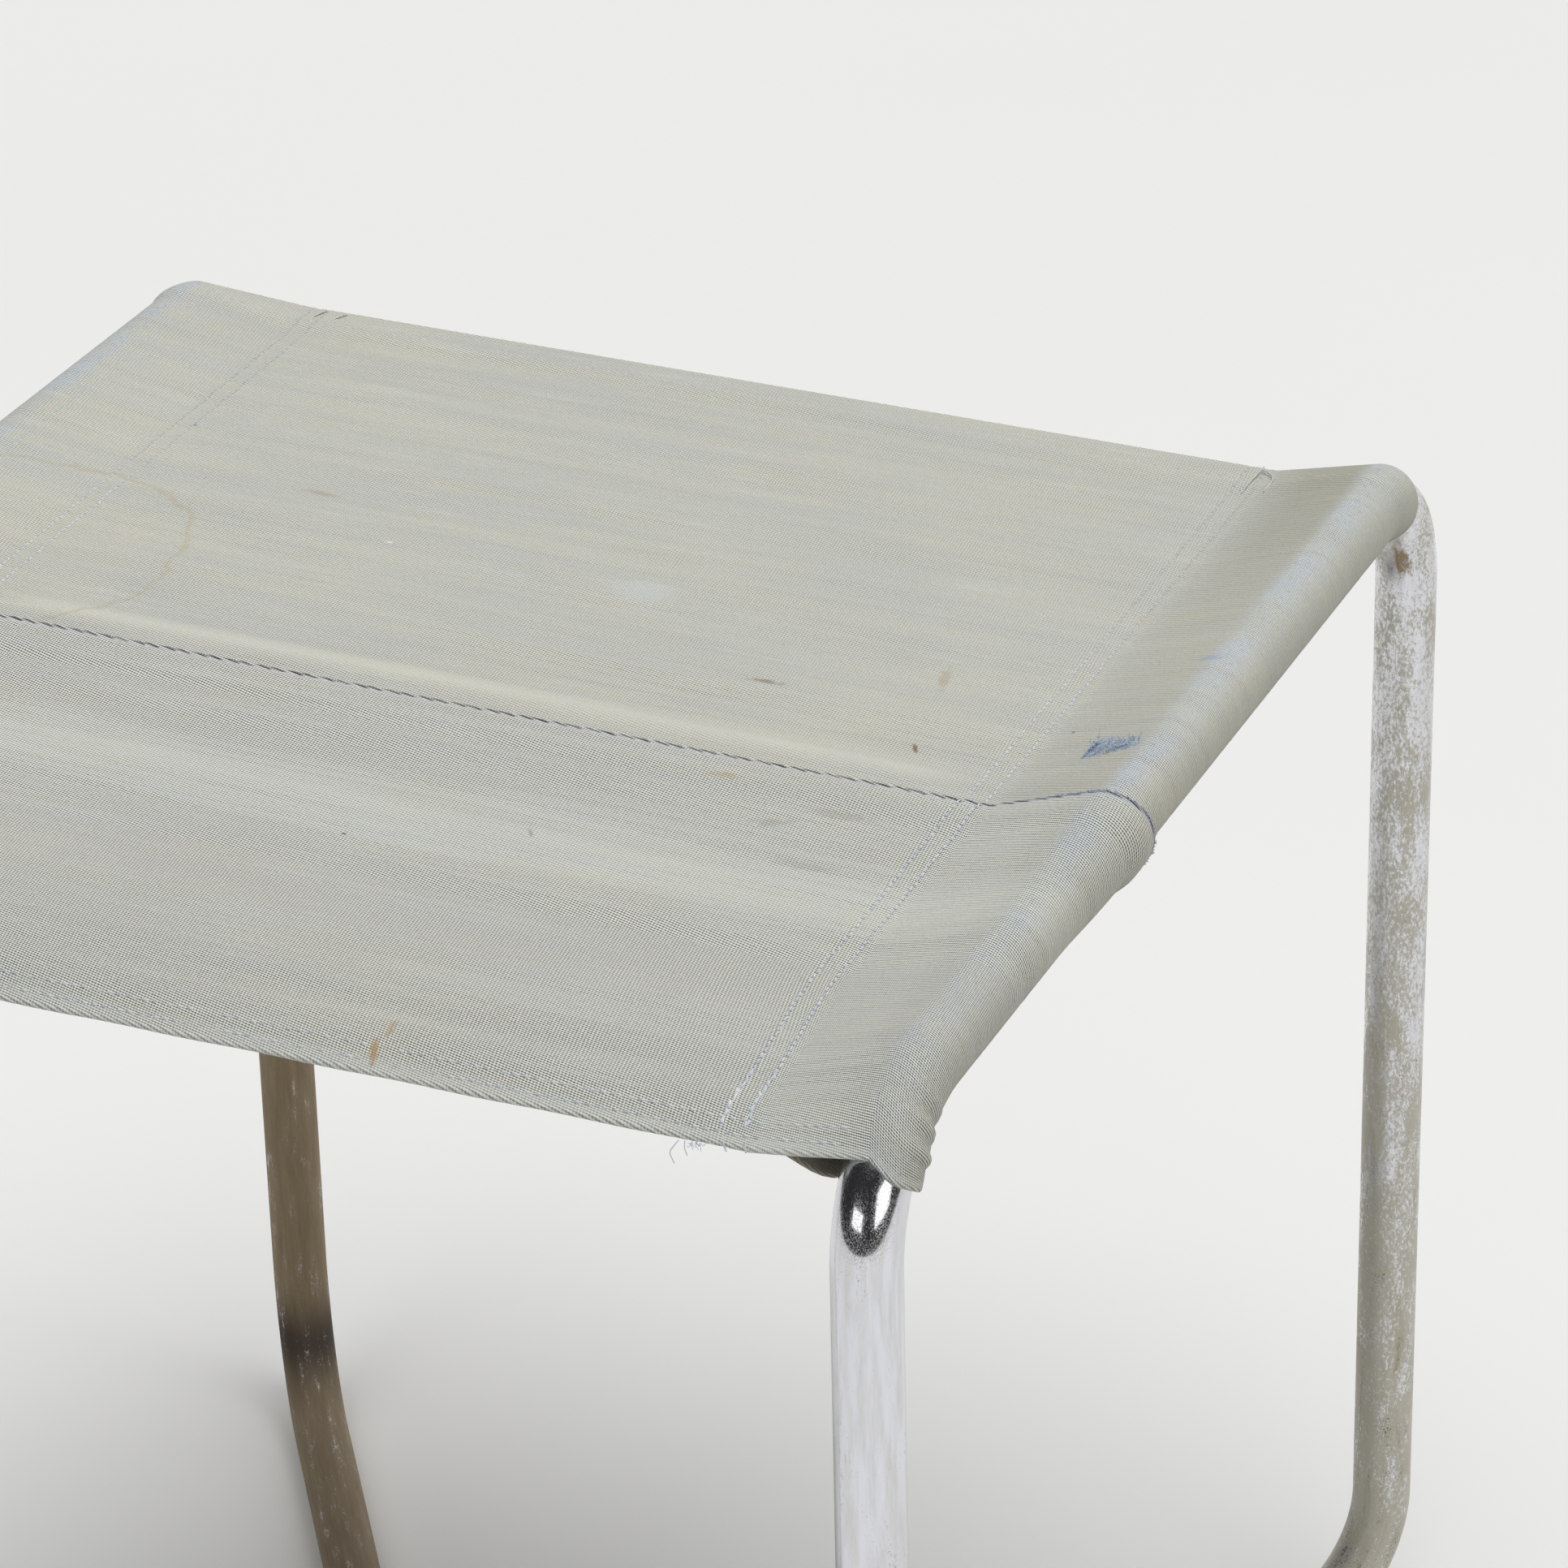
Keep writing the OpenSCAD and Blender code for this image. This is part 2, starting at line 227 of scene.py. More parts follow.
def hollow_tube(name, points, headings, material, slot):
    ring, angles = rings(headings, (0, 0, 1), TUBE_SIDES)
    n, half = len(points), len(points) * TUBE_SIDES
    faces = grid_faces(n, TUBE_SIDES, 0, closed=True, flip=True)
    faces += grid_faces(n, TUBE_SIDES, half, closed=True)
    last = (n - 1) * TUBE_SIDES
    for j in range(TUBE_SIDES):
        k = (j + 1) % TUBE_SIDES
        faces.append((j, k, half + k, half + j))
        faces.append((last + k, last + j, half + last + j, half + last + k))
    skins = [(points[:, None] + ring * r).reshape(-1, 3) for r in (TUBE_R, BORE_R)]
    every = np.concatenate(skins)
    piece = new_piece(name, every, faces, material, slot)
    place = np.zeros((n, TUBE_SIDES, 3))
    place[..., 0] = np.cos(angles) * TUBE_R
    place[..., 1] = np.sin(angles) * TUBE_R
    place[..., 2] = run_along(points)[:, None]
    give(piece, "along", np.concatenate([place, place]).reshape(-1, 3) / MM)
    return piece, every


def frame_wear(points, rear):
    """From 0 to 1 at each point: rust, tan mottling, and the mark of the burnt band."""
    x, y, z = points.T
    drop = 1 - z / RAIL_Z
    right = x > 0
    if rear:
        rust = np.where(right, 0.12 + 0.15 * smoothstep(drop, 0.3, 1.0), 0.86 + 0.06 * drop)
        mottle = np.where(right, 0.55 + 0.55 * smoothstep(drop, 0.1, 0.95), 0.5)
        stain = bell(np.hypot(x - RAIL_X - 2.5 * MM, (z - 424 * MM) * 0.5), 0, 4 * MM) * (y < LEG_Y)
        rust = rust + 0.75 * np.where(right, stain, 0)
    else:
        rust = np.where(right, 0.06 + 0.10 * smoothstep(drop, 0.3, 0.9), 0.30 + 0.2 * drop)
        mottle = np.where(right, -0.35 + 0.75 * smoothstep(drop, 0.12, 0.6), 0.4)
    low = smoothstep(-z, -FOOT_Z, -TUBE_R)
    rust = np.maximum(rust, low * np.where(right, 0.45, 0.88) * (1.0 if rear else 0.7))
    burnt = np.where(right, 0, bell(z, BURN_Z, 12 * MM)) if rear else 0 * z
    return {"wear": rust, "mottle": mottle, "burnt": burnt}


# ---------------- seat cloth

def seat_height(x, y):
    """How far the worn seat stands off its middle height."""
    tilt = -2.4 * MM * x / JOIN_X + 0.5 * MM
    return tilt * smoothstep(y, FRONT_EDGE, -BEND_Y)


def crooked(x, y):
    """How far the sewing runs from its true line: in on the left, out near the front right."""
    right = 4.3 * MM * smoothstep(-np.asarray(y), 150 * MM, 205 * MM)
    share = np.clip(np.abs(x) / JOIN_X, 0, 1) ** 2
    return np.where(x > 0, right, 4.7 * MM) * share


def ring_centre(y, turn):
    """Where a rail's axis runs, level or round its bend."""
    bend = turn != 0
    return (np.where(bend, np.sign(y) * BEND_Y + TOP_BEND_R * np.sin(turn), y),
            np.where(bend, BEND_Z + TOP_BEND_R * np.cos(turn), RAIL_Z))


def station(y, straight=False):
    """Where the cloth of one row lies: turn round the bends, and seat height and tilt."""
    y = np.asarray(y, float)
    v = np.clip((-BEND_Y - y) / FRONT_REACH, 0, None)
    w = np.clip((y - BEND_Y) / (REAR_EDGE - BEND_Y), 0, None)
    tilt = -np.arcsin(np.clip(v * FRONT_REACH / FRONT_R, 0, 0.9))
    return {"y": y, "turn": REAR_WRAP * w - FRONT_WRAP * v, "tilt": tilt,
            "seat_z": SEAT_Z - FRONT_R * (1 - np.cos(tilt)), "crooked": 0.0 if straight else 1.0}


def rise(st, side):
    """How far the cloth at the join lies outward of the rail's axis."""
    ring_y, ring_z = ring_centre(st["y"], st["turn"])
    dy = st["y"] - ring_y
    dz = st["seat_z"] + seat_height(side * JOIN_X, st["y"]) - ring_z
    return dy * np.sin(st["turn"]) + dz * np.cos(st["turn"])


def leave(r, reach, height):
    """Angle round a rail where cloth pulled to a place at (reach, height) leaves it."""
    return np.arccos(r / np.hypot(reach, height)) + np.arctan2(height, reach)


def seat_point(st, x, off):
    z = st["seat_z"] + seat_height(x, st["y"])
    aside = crooked(x, st["y"]) * st["crooked"]
    return np.stack([x + aside + 0 * off, st["y"] + off * np.sin(st["tilt"]),
                     z + off * np.cos(st["tilt"])], -1)


def ring_point(st, side, share, off, lift):
    reach = RAIL_X - JOIN_X - side * crooked(side * JOIN_X, st["y"]) * st["crooked"]
    r = RING_R + lift
    a = leave(r, reach, rise(st, side) + lift)
    b = TAU - leave(r, reach, -rise(st, side) + LAYER + lift)
    angle = a + (b - a) * share
    out = (r + off) * np.sin(angle)
    droop = smoothstep(angle, 1.2, 2.6) * smoothstep(-angle, -5.0, -3.6) * (side > 0)
    turn = st["turn"] * (1 + FRONT_DROOP * droop * (st["turn"] < 0))
    ring_y, ring_z = ring_centre(st["y"], turn)
    point = np.stack([side * (RAIL_X - (r + off) * np.cos(angle)),
                      ring_y + out * np.sin(turn), ring_z + out * np.cos(turn)], -1)
    return point, angle


def tucked(st):
    """The under layer of a sleeve, drawn back a little from the front edge."""
    y = st["y"]
    return station(y + 4.5 * MM * smoothstep(-y, 185 * MM, 228 * MM), st["crooked"] == 0)


def cloth_point(st, place, off, lift):
    """A point of the cloth's middle, and its angle round the rail where it is on one."""
    kind, side, value = place
    nowhere = np.full(len(off), -1.0)
    if kind == "seat":
        return seat_point(st, value, off + lift), nowhere
    if kind == "under":
        return seat_point(tucked(st), side * value, -(LAYER + lift + off)), nowhere
    if kind == "ring":
        return ring_point(st, side, value, off, lift)
    upper = kind == "slope"
    ring, angle = ring_point(st, side, 0.0 if upper else 1.0, off, lift)
    level = off + lift if upper else -(LAYER + lift + off)
    seat = seat_point(st if upper else tucked(st), side * JOIN_X, level)
    point = seat + (ring - seat) * value
    if not upper:
        sag = smoothstep(-st["y"], 150 * MM, 215 * MM) * st["crooked"]
        point[:, 2] -= 6.5 * MM * math.sin(math.pi * value**1.6) * sag
    return point, nowhere


def places_across():
    """Places across a strip, from the end of the left sleeve to the end of the right one."""
    near_rows = [d * MM for d in (-2.2, -1.2, -0.6, 0, 0.6, 1.2, 2.2)]
    rows = sorted(x + d for x in SEWN_X for d in near_rows)
    half = []
    for kind, values in (
            ("seat", [*np.linspace(0, SEWN_X[0] - 3 * MM, 62), *rows, JOIN_X]),
            ("slope", np.linspace(0, 1, 13)[1:-1]), ("ring", np.linspace(0, 1, 57)),
            ("below", np.linspace(1, 0, 11)[1:-1]),
            ("under", np.linspace(JOIN_X, SLEEVE_END_X, 15))):
        half += [(kind, 1, v) for v in values]
    mirror = [(kind, -1, -v if kind == "seat" else v) for kind, _, v in half[:0:-1]]
    return mirror + half


UNDER_ROWS, FOLD_ROWS, UPPER_ROWS = 12, 9, 14    # rows of a hem's layers and its fold
STEP_END = 8.5 * MM                         # how far a hem's step takes to level out


def fold(edge, inward):
    """Rows round a folded edge: [y, off] from the under layer to the upper one."""
    centre = edge + inward * (FOLD_R + CLOTH_T / 2)
    rows = []
    for k in range(FOLD_ROWS):
        a = math.pi * (k / (FOLD_ROWS - 1) - 0.5)
        rows.append((centre - inward * FOLD_R * math.cos(a), FOLD_R + FOLD_R * math.sin(a)))
    return rows


def hem_rows(edge, inward):
    """Rows of a hem from its raw edge to the main cloth: [y, off]."""
    raw = edge + inward * HEM_W
    first = edge + inward * (FOLD_R + CLOTH_T / 2)
    under = [(y, 0.0) for y in np.linspace(raw, first, UNDER_ROWS + 1)[:-1]]
    top = [(y, LAYER) for y in np.linspace(first, raw, UPPER_ROWS + 1)[1:]]
    down = [
        (raw + inward * STEP_END * share, LAYER * (1 - float(smoothstep(share, 0, 1))))
        for share in (0.17, 0.33, 0.5, 0.67, 0.83, 1.0)
    ]
    return under + fold(edge, inward) + top + down


def main_rows(a, b, step):
    n = round(abs(b - a) / step)
    return [(y, 0.0) for y in np.linspace(a, b, n + 1)[1:-1]]


def front_rows():
    lap = hem_rows(LAP_EDGE, -1)
    front = hem_rows(FRONT_EDGE, 1)
    middle = main_rows(LAP_EDGE - HEM_W - STEP_END, FRONT_EDGE + HEM_W + STEP_END, 1.9 * MM)
    return lap + middle + front[::-1]


def rear_rows():
    hem = hem_rows(REAR_EDGE, -1)
    middle = main_rows(REAR_EDGE - HEM_W - STEP_END, LAP_EDGE - LAP_W, 1.9 * MM)
    return hem + middle + [(LAP_EDGE - LAP_W, 0.0)]


def is_seat(strip):
    """1 in the columns of the flat seat and 0 in the others."""
    return np.array([float(p[0] == "seat") for p in strip.places])[None, :]


class Strip:
    """A strip of cloth as a grid: rows along Y and places across."""

    def __init__(self, rows, top_first, lift_of, shape):
        self.y = np.array([r[0] for r in rows])
        off = np.array([r[1] for r in rows])
        lift = lift_of(self.y)
        self.places = places_across()
        st = station(self.y)
        columns = [cloth_point(st, p, off, lift) for p in self.places]
        self.middle = np.stack([c[0] for c in columns], 1)
        self.angle = np.stack([c[1] for c in columns], 1)
        flat = [cloth_point(station([0.0], True), p, np.zeros(1), np.zeros(1))[0][0]
                for p in self.places]
        self.u = run_along(flat)
        self.u -= self.u[-1] / 2
        run = run_along(self.middle[:, len(self.places) // 2])
        self.length = run[-1]
        k = top_first
        self.v = self.y[k] + (run - run[k]) * np.sign(self.y[-1] - self.y[k])
        self.shape(shape)

    def normals(self, points):
        return unit(np.cross(np.gradient(points, axis=1), np.gradient(points, axis=0)))

    def shape(self, shape):
        n = self.normals(self.middle)
        centre = len(self.places) // 2
        self.sign = 1.0 if n[len(self.y) // 2, centre, 2] > 0 else -1.0
        n = n * self.sign
        self.middle = self.middle + n * shape(self)[..., None]
        self.normal = self.normals(self.middle) * self.sign
        self.outer = self.middle + self.normal * CLOTH_T / 2
        self.inner = self.middle - self.normal * CLOTH_T / 2

    def piece(self, name, material, slot, look):
        rows, columns = len(self.y), len(self.places)
        count = rows * columns
        flip = self.sign < 0
        faces = grid_faces(rows, columns, 0, flip=flip)
        faces += grid_faces(rows, columns, count, flip=not flip)

        def wall(line):
            for a, b in zip(line, line[1:]):
                quad = (b, a, count + a, count + b)
                faces.append(quad[::-1] if flip else quad)

        last = (rows - 1) * columns
        wall(list(range(columns)))
        wall([i * columns + columns - 1 for i in range(rows)])
        wall([last + j for j in range(columns - 1, -1, -1)])
        wall([i * columns for i in range(rows - 1, -1, -1)])
        both = np.concatenate([self.outer.reshape(-1, 3), self.inner.reshape(-1, 3)])
        made = new_piece(name, both, faces, material, slot, sharp=60)
        at = np.zeros((2, rows, columns, 3))
        at[..., 0] = self.u[None, None, :] / MM
        at[..., 1] = self.v[None, :, None] / MM
        at[1, ..., 2] = 1
        give(made, "cloth", at.reshape(-1, 3))
        for key, values in look(self).items():
            give(made, key, np.concatenate([values, 0 * values]).ravel())
        return made

    def at(self, u, v, height):
        """The point at a height over the outer face at a place, and its normal."""
        order = np.argsort(self.v)
        row = np.interp(v, self.v[order], order)
        column = np.interp(u, self.u, np.arange(len(self.u)))
        i = min(int(row), len(self.y) - 2)
        j = min(int(column), len(self.u) - 2)
        a, b = row - i, column - j

        def mix(g):
            near = g[i, j] * (1 - b) + g[i, j + 1] * b
            far = g[i + 1, j] * (1 - b) + g[i + 1, j + 1] * b
            return near * (1 - a) + far * a

        normal = unit(mix(self.normal))
        return mix(self.outer) + normal * height, normal


def waves(strip, seed):
    """Slack ripples of the seat, long across and short from front to rear."""
    rng = np.random.default_rng(seed)
    x, y = strip.middle[..., 0], strip.y[:, None]
    total = 0 * x
    for _ in range(9):
        length = rng.uniform(16, 60) * MM
        slant = rng.uniform(-0.10, 0.10)
        phase = rng.uniform(0, TAU)
        fade = np.cos(x / JOIN_X * rng.uniform(0.5, 2.2) + rng.uniform(-1, 1))
        total = total + np.sin((y + slant * x) / length * TAU + phase) * fade * length * 0.0035
    return total * is_seat(strip) * smoothstep(SEWN_X[0] - np.abs(x), 0, 25 * MM)


def sewn_dip(strip):
    """The groove that the two rows of each sleeve pull into the cloth."""
    x = np.abs(strip.middle[..., 0])
    return -0.22 * MM * is_seat(strip) * sum(bell(x, r, 0.9 * MM) for r in SEWN_X)


def front_shape(strip):
    y = strip.y[:, None]
    rng = np.random.default_rng(5)
    shape = waves(strip, 11) * smoothstep(y, FRONT_EDGE, -BEND_Y) + sewn_dip(strip)
    shape = shape + 0.12 * MM * np.sin(strip.u[None, :] / (7 * MM)) * bell(y, FRONT_EDGE, 6 * MM)
    outside = np.array([
        bell(p[2], 0.42, 0.20) if p[0] == "ring" else 0.0 for p in strip.places
    ])[None, :]
    near = smoothstep(-y, BEND_Y + 12 * MM, BEND_Y + 24 * MM)
    near = near * smoothstep(y, FRONT_EDGE + 3 * MM, FRONT_EDGE + 10 * MM)
    pucker = np.sin((y - FRONT_EDGE) / (8.2 * MM) * TAU)
    shape = shape + 1.0 * MM * np.maximum(pucker, -0.3) * outside * near
    right = np.array([p[1] > 0 for p in strip.places])[None, :]
    flap = bell(y, LAP_EDGE - 9 * MM, 13 * MM)
    shape = shape + 1.9 * MM * flap * outside * right
    crease = bell(y, LAP_EDGE - HEM_W - 2 * MM, 1.6 * MM)
    return shape - 0.12 * MM * crease + rng.normal(0, 0.015 * MM, shape.shape)


def rear_shape(strip):
    y = strip.y[:, None]
    x = strip.middle[..., 0]
    rng = np.random.default_rng(6)
    shape = waves(strip, 23) * smoothstep(REAR_EDGE - y, 0, 20 * MM) + sewn_dip(strip)
    ridge = bell(y, RIDGE_Y, 5.5 * MM)
    level = is_seat(strip) * smoothstep(SEWN_X[0] - np.abs(x), -5 * MM, 40 * MM)
    shape = shape + 0.9 * MM * ridge * level
    return shape + rng.normal(0, 0.015 * MM, shape.shape)


def common_look(strip, slope_shade):
    """What both strips share: places, how near the rail's crest, and how much it is shaded."""
    u, v = strip.u[None, :] + 0 * strip.v[:, None], strip.v[:, None] + 0 * strip.u[None, :]
    ring = strip.angle >= 0
    crest = np.where(ring, bell(strip.angle, 1.68, 0.5), 0)
    slope = smoothstep(np.abs(u), JOIN_X - 10 * MM, JOIN_X + 20 * MM) * (u > 0)
    before = np.where(ring, 1 - smoothstep(strip.angle, 1.05, 1.5), 1.0)
    outside = np.where(ring, smoothstep(strip.angle, 1.9, 2.9), 0)
    shade = slope * before * slope_shade * (0.6 + 0.9 * smoothstep(v, 60 * MM, 200 * MM))
    return u, v, crest, shade + outside * 0.48


def slope_part(u):
    """1 on the cloth that climbs to the right rail."""
    up = smoothstep(u, JOIN_X - 3 * MM, JOIN_X + 5 * MM)
    return up * (1 - smoothstep(u, JOIN_X + 20 * MM, JOIN_X + 32 * MM))


def under_shade_of(strip):
    """Painted shade: how much the hidden under parts of the sleeves and the cloth under each rail
    are darkened.
    """
    kinds = [0.85 if p[0] in ("under", "below") else 0.0 for p in strip.places]
    ring = np.where(strip.angle >= 0, smoothstep(strip.angle, 3.3, 4.4) * 0.85, 0)
    return ring + np.array(kinds)[None, :]


def front_look(strip):
    u, v, crest, shade = common_look(strip, 0.16)
    show = 0.50 + 0.40 * smoothstep(v, LAP_EDGE - 62 * MM, LAP_EDGE - 40 * MM)
    show = show + 0.42 * smoothstep(-v, 118 * MM, 140 * MM)
    rail = smoothstep(u, JOIN_X, JOIN_X + 20 * MM)
    crease = bell(v, LAP_EDGE - 15 * MM, 3.5 * MM) * rail
    show = show + 0.25 * crest + 0.25 * crease
    rolled = smoothstep(-v, -FRONT_EDGE - 2 * MM, -FRONT_EDGE)
    show = show * (1 - 0.30 * slope_part(u)) * (1 - 0.45 * rolled)
    edge = bell(v, LAP_EDGE - 0.2 * MM, 1.6 * MM) * (0.12 + 0.88 * rail)
    return {"show": show, "shade": shade, "crest": crest, "fuzz": np.clip(edge, 0, 1),
            "under_shade": under_shade_of(strip)}


def rear_look(strip):
    u, v, crest, shade = common_look(strip, 0.50)
    show = 0.36 + 0.22 * bell(v, LAP_EDGE, 45 * MM) + 0.12 * crest
    cream = bell(v, RIDGE_Y, 7.0 * MM) ** 2
    cream = cream * smoothstep(SEWN_X[0] - np.abs(u), -6 * MM, 25 * MM)
    return {"show": show * (1 - 0.9 * cream), "shade": shade, "crest": crest, "cream": cream,
            "under_shade": under_shade_of(strip)}


# ---------------- threads

def thread_mesh(lines):
    """Tubes with closed ends along lines of given radii, as points and faces."""
    points, faces = [], []
    for line, radius in lines:
        line = np.asarray(line, float)
        heading = unit(np.gradient(line, axis=0))
        first = unit(np.cross(heading[0], (0.31, 0.12, 0.94)))
        ring, _ = rings(heading, first, THREAD_SIDES)
        n, start = len(line), len(points)
        grow = np.minimum(1, 0.55 + np.minimum(np.arange(n), n - 1 - np.arange(n)) * 0.45)
        body = line[:, None] + ring * (radius * grow)[:, None, None]
        points.extend(body.reshape(-1, 3))
        faces += grid_faces(n, THREAD_SIDES, start, closed=True, flip=True)
        points.append(line[0] - heading[0] * radius * 0.4)
        points.append(line[-1] + heading[-1] * radius * 0.4)
        tip, tail = len(points) - 2, len(points) - 1
        end = tip - THREAD_SIDES
        for j in range(THREAD_SIDES):
            k = (j + 1) % THREAD_SIDES
            faces.append((tip, start + j, start + k))
            faces.append((tail, end + k, end + j))
    return points, faces


def stitches(strip, place_of, length, radius, sway, seed, sunk=0.7, gone=0.0):
    """One line for each stitch of a row. place_of(s) gives (u, v) at a distance along it."""
    rng = np.random.default_rng(seed)
    share = 0.88
    lines = []
    for k in range(int(length / STITCH)):
        start = (k + (1 - share) / 2) * STITCH
        slant, aside, long = rng.normal(0, sway), rng.normal(0, sway) * 0.5, rng.uniform(0.86, 1.0)
        if rng.uniform() < gone:
            continue
        line = []
        for t in np.linspace(0, 1, 6):
            u, v = place_of(start + t * STITCH * share * long)
            height = radius * (1.2 * math.sin(math.pi * t) ** 0.6 - sunk)
            line.append(strip.at(u + slant * (t - 0.5) + aside, v + aside * 0.3, height)[0])
        lines.append((line, radius))
    return lines


def curl(start, heading, length, wander, seed, steps=14):
    """A loose thread's line: it sets out along heading and wanders."""
    rng = np.random.default_rng(seed)
    line, heading = [np.array(start, float)], unit(np.array(heading, float))
    for _ in range(steps):
        heading = unit(heading + rng.normal(0, wander, 3))
        line.append(line[-1] + heading * length / steps)
    return line


# ---------------- material nodes

def rgb(r, g, b):
    """Linear colour from the 0 to 255 values of a screen."""
    def linear(c):
        c = c / 255
        return c / 12.92 if c <= 0.04045 else ((c + 0.055) / 1.055) ** 2.4
    return (linear(r), linear(g), linear(b), 1)


class Nodes:
    """Builds the node tree of a material or a world. Each method returns an output socket."""

    def __init__(self, owner):
        owner.use_nodes = True
        self.owner, self.tree = owner, owner.node_tree
        self.tree.nodes.clear()

    def put(self, kind, inputs, **settings):
        node = self.tree.nodes.new("ShaderNode" + kind)
        for key, value in settings.items():
            setattr(node, key, value)
        for key, value in inputs.items():
            if isinstance(value, bpy.types.NodeSocket):
                self.tree.links.new(value, node.inputs[key])
            else:
                node.inputs[key].default_value = value
        return node

    def attribute(self, name, output="Fac"):
        return self.put("Attribute", {}, attribute_name=name).outputs[output]

    def place(self, output="Object"):
        return self.put("TexCoord", {}).outputs[output]

    def calc(self, operation, *values):
        return self.put("Math", dict(enumerate(values)), operation=operation).outputs[0]

    def plus(self, a, b):
        return self.calc("ADD", a, b)

    def minus(self, a, b):
        return self.calc("SUBTRACT", a, b)

    def times(self, a, b):
        return self.calc("MULTIPLY", a, b)

    def line(self, a, slope, start):
        """a * slope + start"""
        return self.calc("MULTIPLY_ADD", a, slope, start)

    def noise(self, vector, scale, detail=3.0, rough=0.5):
        used = {"Vector": vector, "Scale": scale, "Detail": detail, "Roughness": rough}
        return self.put("TexNoise", used).outputs["Fac"]

    def grain(self, at, scale, detail=3.0, rough=0.5, size=1.0):
        """Noise with its own scale in each direction."""
        used = {"Vector": at, "Scale": scale}
        at = self.put("Mapping", used, vector_type="POINT").outputs[0]
        return self.noise(at, size, detail, rough)

    def smooth(self, value, low, high, start=0.0, end=1.0):
        used = {"Value": value, "From Min": low, "From Max": high,
                "To Min": start, "To Max": end}
        return self.put("MapRange", used, interpolation_type="SMOOTHSTEP").outputs[0]

    def blend(self, share, a, b, how="MIX"):
        used = {0: share, 6: a, 7: b}
        return self.put("Mix", used, data_type="RGBA", blend_type=how).outputs[2]

    def oval(self, at, centre, radii, turn, jitter, grain):
        """Distance from the middle of a ragged oval on the cloth, 1 at its edge."""
        used = {"Vector": at, "Location": (*centre, 0), "Rotation": (0, 0, turn),
                "Scale": (*radii, 1)}
        near = self.put("Mapping", used, vector_type="TEXTURE").outputs[0]
        flat = self.put("VectorMath", {0: near, 1: (1, 1, 0)}, operation="MULTIPLY").outputs[0]
        far = self.put("VectorMath", {0: flat}, operation="LENGTH").outputs["Value"]
        return self.plus(far, self.line(grain, 2 * jitter, -jitter))

    def layers(self, colour, *pairs):
        """A colour with others laid over it in turn, each by its own share."""
        for share, over in pairs:
            colour = self.blend(share, colour, rgb(*over))
        return colour

    def finish(self, colour, rough, inputs, height, distance, strength):
        """The surface, with a bump of the given depth."""
        used = {"Height": height, "Distance": distance, "Strength": strength}
        bump = self.put("Bump", used).outputs[0]
        used = {"Base Color": colour, "Roughness": rough, "Normal": bump, **inputs}
        shader = self.put("BsdfPrincipled", used)
        self.put("OutputMaterial", {"Surface": shader.outputs[0]})
        return self.owner


def material_nodes(name):
    return Nodes(bpy.data.materials.new(name))


def weave(n, u, v, at):
    """Depth of the small dark gaps between the threads, and the two thread waves."""
    drift = n.grain(at, (0.004, 0.05, 0), 2.0)
    first = n.line(u, 0.27, n.times(v, 0.98))
    first = n.line(drift, 2.2, first)
    denser = n.calc("MAXIMUM", n.minus(-150.0, v), 0.0)
    first = n.line(denser, -0.34, first)
    second = n.line(u, 1.015, n.times(v, 0.12))
    outer = n.calc("MAXIMUM", n.minus(u, 172.0), 0.0)
    second = n.line(outer, 0.40, second)
    second = n.line(n.grain(at, (0.05, 0.01, 0), 2.0), 1.6, second)
    a = n.calc("COSINE", n.times(first, TAU))
    b = n.calc("COSINE", n.times(second, TAU))
    ragged = n.grain(at, (0.9, 0.9, 0), 3.0, 0.8)
    both = n.line(b, 0.50, a)
    both = n.line(ragged, 1.6, n.plus(both, -0.8))
    return n.smooth(both, -0.25, 1.15), a, b


def sewn_holes(n, u, v, first):
    """Painted shade in the small holes where the needle went through the sleeve's two rows."""
    turn = n.line(v, TAU * MM / STITCH, -TAU * first / STITCH)
    holes = n.smooth(n.calc("COSINE", turn), 0.45, 0.95)
    near = 0.0
    for row in SEWN_X:
        off = n.calc("ABSOLUTE", n.minus(n.calc("ABSOLUTE", u), row / MM))
        near = n.plus(n.smooth(off, 0.85, 0.35), near)
    return n.times(near, holes)


def slit_shadows(n, u, v):
    """Painted shadow: the row of slanting dark dashes in the gap along the upper strip's folded
    edge.
    """
    total = 0.0
    for start in (0.0, 0.55):
        step = n.calc("FRACT", n.line(u, 1 / 11.0, start))
        line = n.line(step, -3.4, LAP_EDGE / MM + 0.6)
        off = n.calc("ABSOLUTE", n.minus(v, line))
        ends = n.times(n.smooth(step, 0.02, 0.15), n.smooth(step, 0.98, 0.80))
        total = n.calc("MAXIMUM", total, n.times(n.smooth(off, 0.62, 0.20), ends))
    return total


